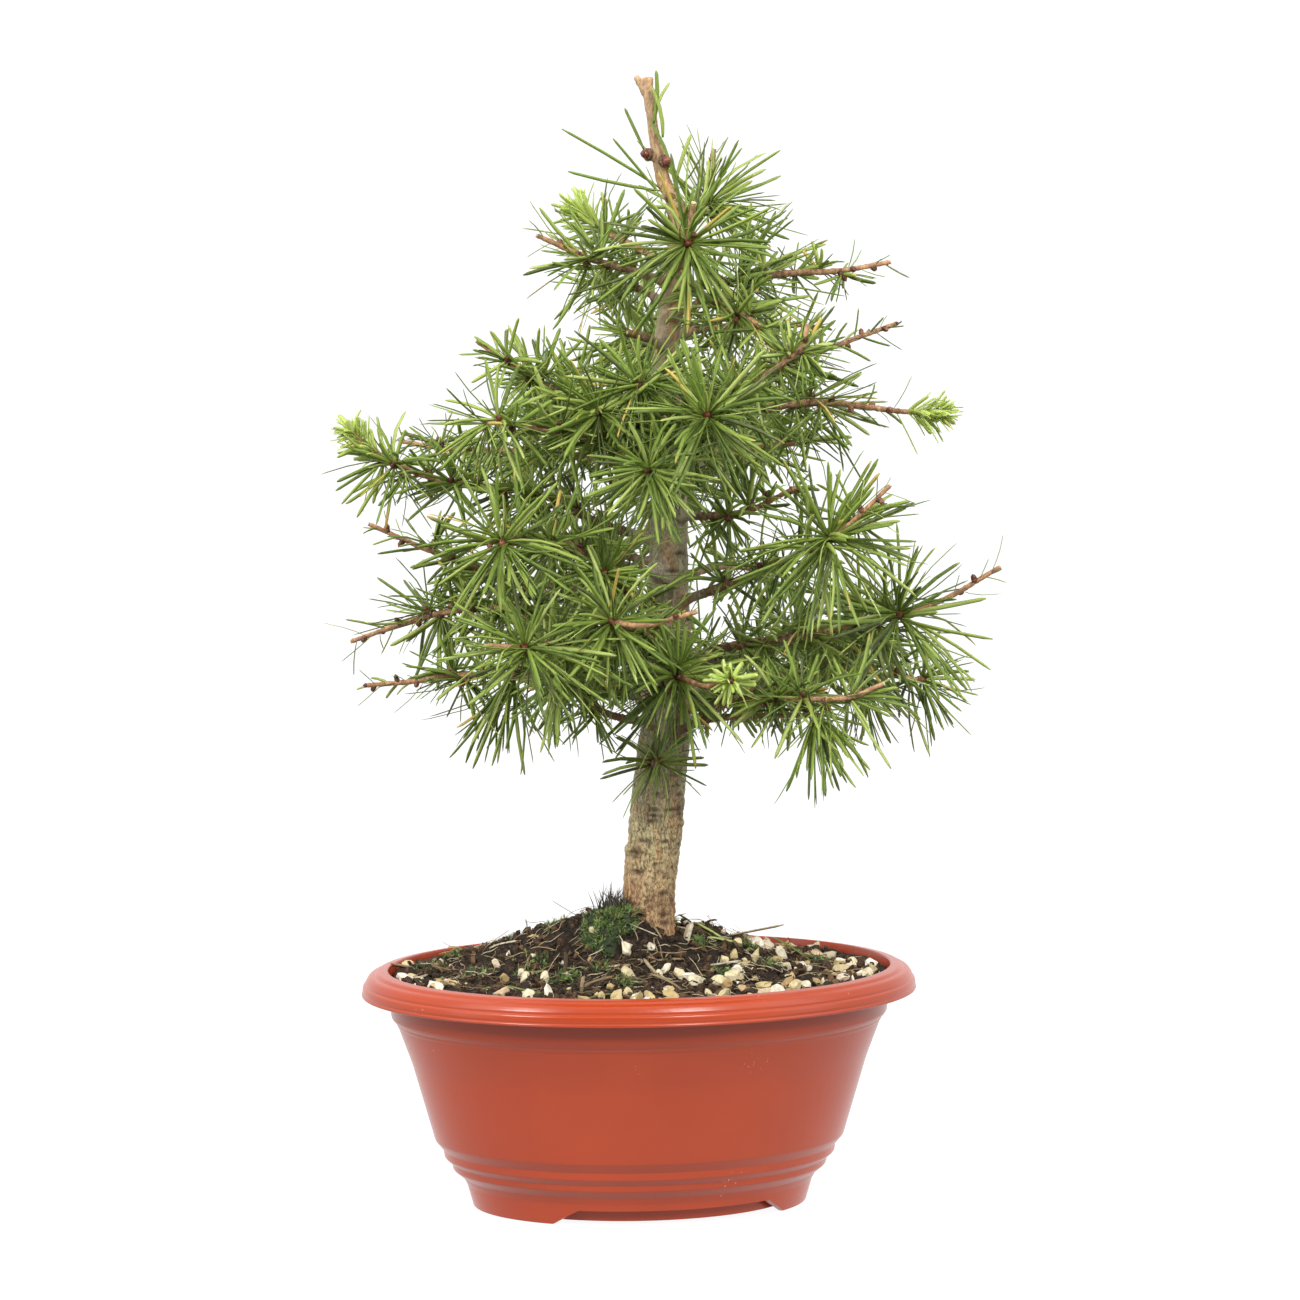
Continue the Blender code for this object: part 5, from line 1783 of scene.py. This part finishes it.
    def sideways(self, station: float, turn: float, forward: float) -> np.ndarray:
        """A direction that leaves the twig sideways.

        Args:
            station: Distance along the limb, in mm.
            turn: Angle round the twig, 0 for up, in radians.
            forward: How far it leans on along the twig.

        Returns:
            The direction.
        """
        along = self.route.tangent(station)
        up = unit(UP - along * (UP @ along) + 1e-6)
        level = np.cross(along, up)
        return unit(up * math.cos(turn) + level * math.sin(turn) + along * forward)

    def single_needles(self, start: float, end: float, length: float, spacing: float) -> None:
        """Grow single needles in a spiral along a twig, shorter towards its end.

        Args:
            start: Where they start, as a distance along the limb, in mm.
            end: Where they end, in mm.
            length: How long they are, in mm.
            spacing: The distance between them, in mm.
        """
        count = max(3, int((end - start) / spacing))
        stations = np.linspace(start, end, count) + self.draw.uniform(-0.4, 0.4, count) * spacing
        roots = np.array([self.route.at(s) for s in stations])
        along = np.array([self.route.tangent(s) for s in stations])
        turns = np.arange(count) * GOLDEN_ANGLE
        directions = np.array([
            self.sideways(s, turn, self.draw.uniform(0.5, 1.4)) for s, turn in zip(stations, turns)
        ])
        lengths = length * self.draw.uniform(0.55, 1.15, count)
        self.needles(roots, directions, along, lengths, 0, 0.66, 0.16)

    def side_buds(self, start: float, end: float, spacing: float, size: float) -> None:
        """Set bare buds on short knobs along a twig.

        Args:
            start: Where they start, as a distance along the limb, in mm.
            end: Where they end, in mm.
            spacing: The distance between them, in mm.
            size: How wide they are, in mm.
        """
        for station in np.arange(start, end, spacing):
            self.turn += GOLDEN_ANGLE
            axis = self.sideways(station, self.turn, 0.25)
            place = self.route.at(station) + axis * 0.9
            self.lump(self.shapes.knob, place - axis * 0.6, axis, (size * 0.95, 1.6), 3)
            self.bud(place + axis * 1.3, axis, size)

    def pale_shoot(self, index: int, length: float) -> None:
        """Grow a young pale shoot: forward-swept needles up the twig's last stretch.

        Args:
            index: Which listed point it grows at.
            length: Its needles' length, in mm.
        """
        end = self.limb.station_of(index)
        reach = max(9.0, 0.95 * (end - self.limb.station_of(index - 1)))
        place = self.route.at(end - 1.0)
        self.tuft(place, self.route.tangent(end), 16, length * 0.7, (4.0, 42.0), 1, 1.15, 0.8)
        for step in np.arange(1.5, reach, 1.9):
            station = end - step
            along = self.route.tangent(station)
            turns = np.arange(6) * GOLDEN_ANGLE + step
            directions = np.array([self.sideways(station, turn, 1.1) for turn in turns])
            roots = self.route.at(station) + directions * 0.5
            lengths = length * self.draw.uniform(0.7, 1.0, 6) * (0.7 + 0.3 * min(step / 8.0, 1.0))
            self.needles(roots, directions, along[None].repeat(6, 0), lengths, 1, 1.15)

    def star(self, index: int, length: float) -> None:
        """Grow a compact pale star of two whorls that faces outwards.

        Args:
            index: Which listed point it grows at.
            length: Its needles' length, in mm.
        """
        end = self.limb.station_of(index)
        place = self.route.at(end)
        outwards = unit(place - trunk_centre(place[2]))
        axis = unit(FRONT + 0.15 * UP + 0.3 * outwards)
        self.tuft(place, axis, 26, length * 1.25, (60.0, 104.0), 1, 1.35, 0.8)
        self.tuft(place + axis * 0.6, axis, 18, length * 0.8, (8.0, 56.0), 1, 1.3, 0.6)

    def grow(self) -> None:
        """Grow what the limb's list says, and smaller rosettes on the stretches between."""
        last = self.limb.wood_reach
        for index, (_, _, _, kind, length) in enumerate(self.limb.spurs, start=1):
            station = self.limb.station_of(index)
            place = self.route.at(station)
            along = self.route.tangent(station)
            outwards = unit(place - trunk_centre(place[2]) + 1e-6)
            if kind is HUB:
                front = 1.1 if self.limb.spurs[index - 1][1] < -20 else 0.0
                axis = unit(outwards * (1.0 - 0.5 * front) + FRONT * front + 0.24 * self.draw.normal(size=3))
                self.tuft(place, unit(axis + 0.15 * UP), round(1.9 * length), length, (10.0, 96.0))
                self.turn += GOLDEN_ANGLE
                self.tuft(place - along * 3.0, self.sideways(station, self.turn, 0.3), 16, length)
            elif kind is SIDE:
                for step in range(2):
                    self.turn += GOLDEN_ANGLE
                    axis = self.sideways(station, self.turn, 0.5)
                    self.tuft(self.route.at(station - 4.0 * step), axis, 25, length)
            elif kind is SPARSE:
                self.turn += GOLDEN_ANGLE
                self.tuft(place, self.sideways(station, self.turn, 0.5), 18, length)
            elif kind is FAN:
                self.tuft(place, unit(along + 0.35 * UP + 0.2 * FRONT), 40, length, (8.0, 74.0))
                self.tuft(place - along * 5.0, self.sideways(station, 2.6, 0.6), 20, length * 0.8)
            elif kind is DROOP:
                axis = unit(0.35 * along + 0.25 * FRONT - UP)
                self.tuft(place, axis, 38, length, (4.0, 54.0))
                self.tuft(place - along * 4.0, self.sideways(station, 0.4, 0.5), 22, length * 0.75)
            elif kind is SHOOT:
                self.single_needles(last + 3.0, station, length, 1.7)
                self.side_buds(last + 6.0, station, 9.0, 2.0)
                self.bud(self.route.at(station + 2.0), along, 1.9)
            elif kind is STUB:
                self.single_needles(last + 3.0, station - 1.0, length, 2.6)
                self.side_buds(last + 5.0, station - 2.0, 7.5, 2.3)
            elif kind is PALE:
                self.pale_shoot(index, length)
            elif kind is STAR:
                self.star(index, length)
            if kind in (SPARSE, SIDE, HUB, FAN):
                self.fill_between(last, station, length)
            last = station
        if kind is STUB:
            end = self.route.length
            axis = self.route.tangent(end - 2.0)
            wide = 2.0 * float(self.limb.radius(np.array(end)))
            self.lump(self.shapes.knob, self.route.at(end) - axis * 0.3, axis, (wide * 0.84, 0.45), 4)

    def fill_between(self, start: float, end: float, length: float) -> None:
        """Grow smaller rosettes on a stretch that the list leaves free.

        Args:
            start: Where the stretch begins, as a distance along the limb, in mm.
            end: Where it ends, in mm.
            length: How long the needles are at its end, in mm.
        """
        start = max(start, self.limb.wood_reach + 4.0)
        room = int((end - start) / self.SPUR_GAP)
        for number in range(1, room + 1):
            station = start + (end - start) * number / (room + 1)
            self.turn += GOLDEN_ANGLE
            axis = self.sideways(station, self.turn, 0.5)
            count = int(self.draw.integers(14, 24))
            self.tuft(self.route.at(station), axis, count, length * self.draw.uniform(0.75, 1.0))


@dataclass
class Crown:
    """Every spray: its twig and all that grows on it."""

    limbs: Sequence[Limb]
    shapes: Shapes
    seed: int = 31
    # Buds on the leader as (right, back, up, size), and needles from (right, up) to (right, up)
    leader_buds: Rows = (
        (3.1, -3.0, 405.0, 3.6), (9.4, -3.2, 402.4, 3.8), (11.2, -3.4, 388.5, 3.2), (8.0, 2.6, 398.0, 3.0),
    )
    leader_needles: Rows = (
        (1.6, 406.6, -6.1, 423.5), (6.5, 391.0, -10.7, 411.7), (7.8, 392.0, -22.2, 412.8),
        (7.8, 391.0, -27.5, 396.0), (13.8, 391.0, 10.0, 420.0), (5.2, 416.7, 9.6, 437.0),
        (8.7, 411.3, 9.8, 431.0), (14.0, 396.0, 18.0, 413.0), (15.0, 392.0, 31.0, 408.0),
        (6.0, 421.0, 8.4, 433.0),
    )

    def build_twig(self, limb: Limb) -> Object:
        """Model the twig with the low ridges that old needles leave.

        Args:
            limb: The limb it belongs to.

        Returns:
            The twig.
        """
        outer = limb.route.stations >= limb.wood_reach - 1.0
        points, stations = limb.route.points[outer], limb.route.stations[outer]
        ridges = 1.0 + 0.09 * np.sin(stations * 2.4) + 0.05 * np.sin(stations * 5.3 + 1.0)
        radii = limb.radius(stations) * ridges
        radii[-1] *= 0.6
        twig = curve_tube("twig", points, radii, 2)
        mesh = twig.data
        rings = read_points(mesh) / MM
        along = limb.route.nearest(rings)
        rough = np.array([noise.noise(Vector(point) * 0.8) for point in rings])
        share = np.clip(along / max(limb.route.length, 70.0), 0.0, 1.0)
        centres = np.array([limb.route.at(s) for s in along])
        write_points(mesh, (centres + (rings - centres) * (1.0 + 0.12 * rough[:, None])) * MM)
        dark = np.clip(0.5 * np.sin(along * 2.4) - 0.1, 0.0, 0.5)
        write_attribute(mesh, "relief", np.stack([dark, np.zeros(len(along)), share], axis=1))
        mesh.shade_smooth()
        return twig

    def build_leader(self, draw: np.random.Generator, finishes: Sequence[Material]) -> None:
        """Set the scaly buds and the few long needles on the leader.

        Args:
            draw: The crown's seeded draw.
            finishes: The materials of what grows.
        """
        leader = Limb("leader", 395.0, ((5.5, 0.0, 412.0, BARE, 0.0), (3.0, 0.0, 432.0, BARE, 0.0)))
        growth = Growth(leader, self.shapes, draw)
        for right, back, up, size in self.leader_buds:
            place = placed(right, back, up)
            outwards = unit(place - trunk_centre(up) + 0.4 * UP)
            growth.lump(self.shapes.knob, place - outwards * 1.2, outwards, (size * 1.15, 2.0), 3)
            growth.bud(place + outwards * 1.4, outwards, size)
        rows = np.array(self.leader_needles)
        roots = np.array([placed(right, -2.4, up) for right, up, _, _ in rows])
        tips = np.array([placed(right, -7.0, up) for _, _, right, up in rows])
        lengths = np.linalg.norm(tips - roots, axis=1)
        growth.needles(roots, unit(tips - roots), FRONT[None].repeat(len(rows), 0), lengths)
        finish_piece(growth.bunch.build(finishes), "needle_green")

    def build(self) -> None:
        """Grow the sprays one by one, each as one piece."""
        draw = np.random.default_rng(self.seed)
        leaf_finishes = [
            finish.material() for finish in (NEEDLE, YOUNG_NEEDLE, BUD, KNOB, CUT_WOOD)
        ]
        bark = TWIG_BARK.material()
        for limb in self.limbs:
            growth = Growth(limb, self.shapes, draw)
            growth.grow()
            leaves = growth.bunch.build(leaf_finishes)
            twig = self.build_twig(limb)
            twig.data.materials.append(bark)
            spray = join([leaves, twig], f"larch_{limb.name}")
            finish_piece(spray, "needle_green", f"spray_{limb.name}")
        self.build_leader(draw, leaf_finishes)


@dataclass
class Studio:
    """White paper, soft light and the camera at the photograph's angle."""

    eye: tuple[float, float, float] = (3.85, -2600.0, 497.0)
    pitch: float = 6.2
    lens: float = 188.3
    # Soft boxes: right, back, up, width, height and power
    panels: Rows = (
        (-1150.0, -1600.0, 1350.0, 380.0, 620.0, 27.0), (1000.0, -1700.0, 1350.0, 380.0, 620.0, 24.0),
        (-1500.0, -900.0, 1000.0, 700.0, 1500.0, 5.0), (1600.0, -500.0, 900.0, 700.0, 1500.0, 4.0),
        (0.0, 100.0, 2300.0, 2400.0, 2400.0, 14.0),
    )
    tent: float = 1.12
    dark_side: float = 0.2

    def light_tent(self) -> World:
        """Light from white cloth all round, but for the open side behind the camera."""
        world = bpy.data.worlds.new("light_tent")
        world.use_nodes = True
        tree = world.node_tree
        place = add_node(tree, "ShaderNodeTexCoord", out="Generated")
        facing = add_node(
            tree, "ShaderNodeVectorMath", {0: place, 1: tuple(FRONT)}, "Value", operation="DOT_PRODUCT"
        )
        strength = add_node(
            tree, "ShaderNodeMapRange",
            {
                "Value": facing, "From Min": 0.5, "From Max": 0.92,
                "To Min": self.tent, "To Max": self.dark_side,
            },
        )
        background = tree.nodes["Background"]
        background.inputs["Color"].default_value = (1.0, 1.0, 1.0, 1.0)
        tree.links.new(strength, background.inputs["Strength"])
        return world

    def build(self) -> None:
        """Lay the paper, hang the lights and set the camera."""
        scene = bpy.context.scene
        scene.view_settings.view_transform = "Standard"
        select()
        bpy.ops.mesh.primitive_circle_add(vertices=96, radius=30.0, fill_type="NGON")
        floor = bpy.context.active_object
        floor.name = "paper_floor"
        floor.data.materials.append(PAPER.material())
        scene.world = self.light_tent()
        aim = Vector(placed(5.0, 0.0, 150.0) * MM)
        for number, (right, back, up, wide, high, power) in enumerate(self.panels):
            light = bpy.data.lights.new(f"panel_{number}", "AREA")
            light.shape = "RECTANGLE"
            light.size = wide * MM
            light.size_y = high * MM
            light.energy = power
            lamp = bpy.data.objects.new(light.name, light)
            lamp.location = placed(right, back, up) * MM
            lamp.rotation_euler = (aim - lamp.location).to_track_quat("-Z", "Y").to_euler()
            scene.collection.objects.link(lamp)
        camera = bpy.data.cameras.new("camera")
        camera.lens = self.lens
        camera.sensor_width = 36.0
        camera.clip_end = 100.0
        viewer = bpy.data.objects.new("camera", camera)
        viewer.location = placed(*self.eye) * MM
        viewer.rotation_euler = (math.radians(90.0 - self.pitch), 0.0, -FRONT_TURN)
        scene.collection.objects.link(viewer)
        scene.camera = viewer


def corners(box: Sequence[Sequence[float]]) -> list[list[float]]:
    """Turn a box's corners into plain lists of numbers."""
    return [[float(value) for value in corner] for corner in box]


def main() -> None:
    """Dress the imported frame."""
    logging.basicConfig(level=logging.INFO, format="%(message)s")
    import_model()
    shapes = Shapes()
    limbs = [Limb(name, height, spurs) for name, height, spurs in LIMBS]
    Pot().build()
    soil = SoilBed()
    soil.build_mound()
    soil.build_litter(shapes)
    Moss(soil).build(shapes)
    Trunk(limbs).build()
    Crown(limbs, shapes).build()
    Studio().build()


if __name__ == "__main__":
    main()
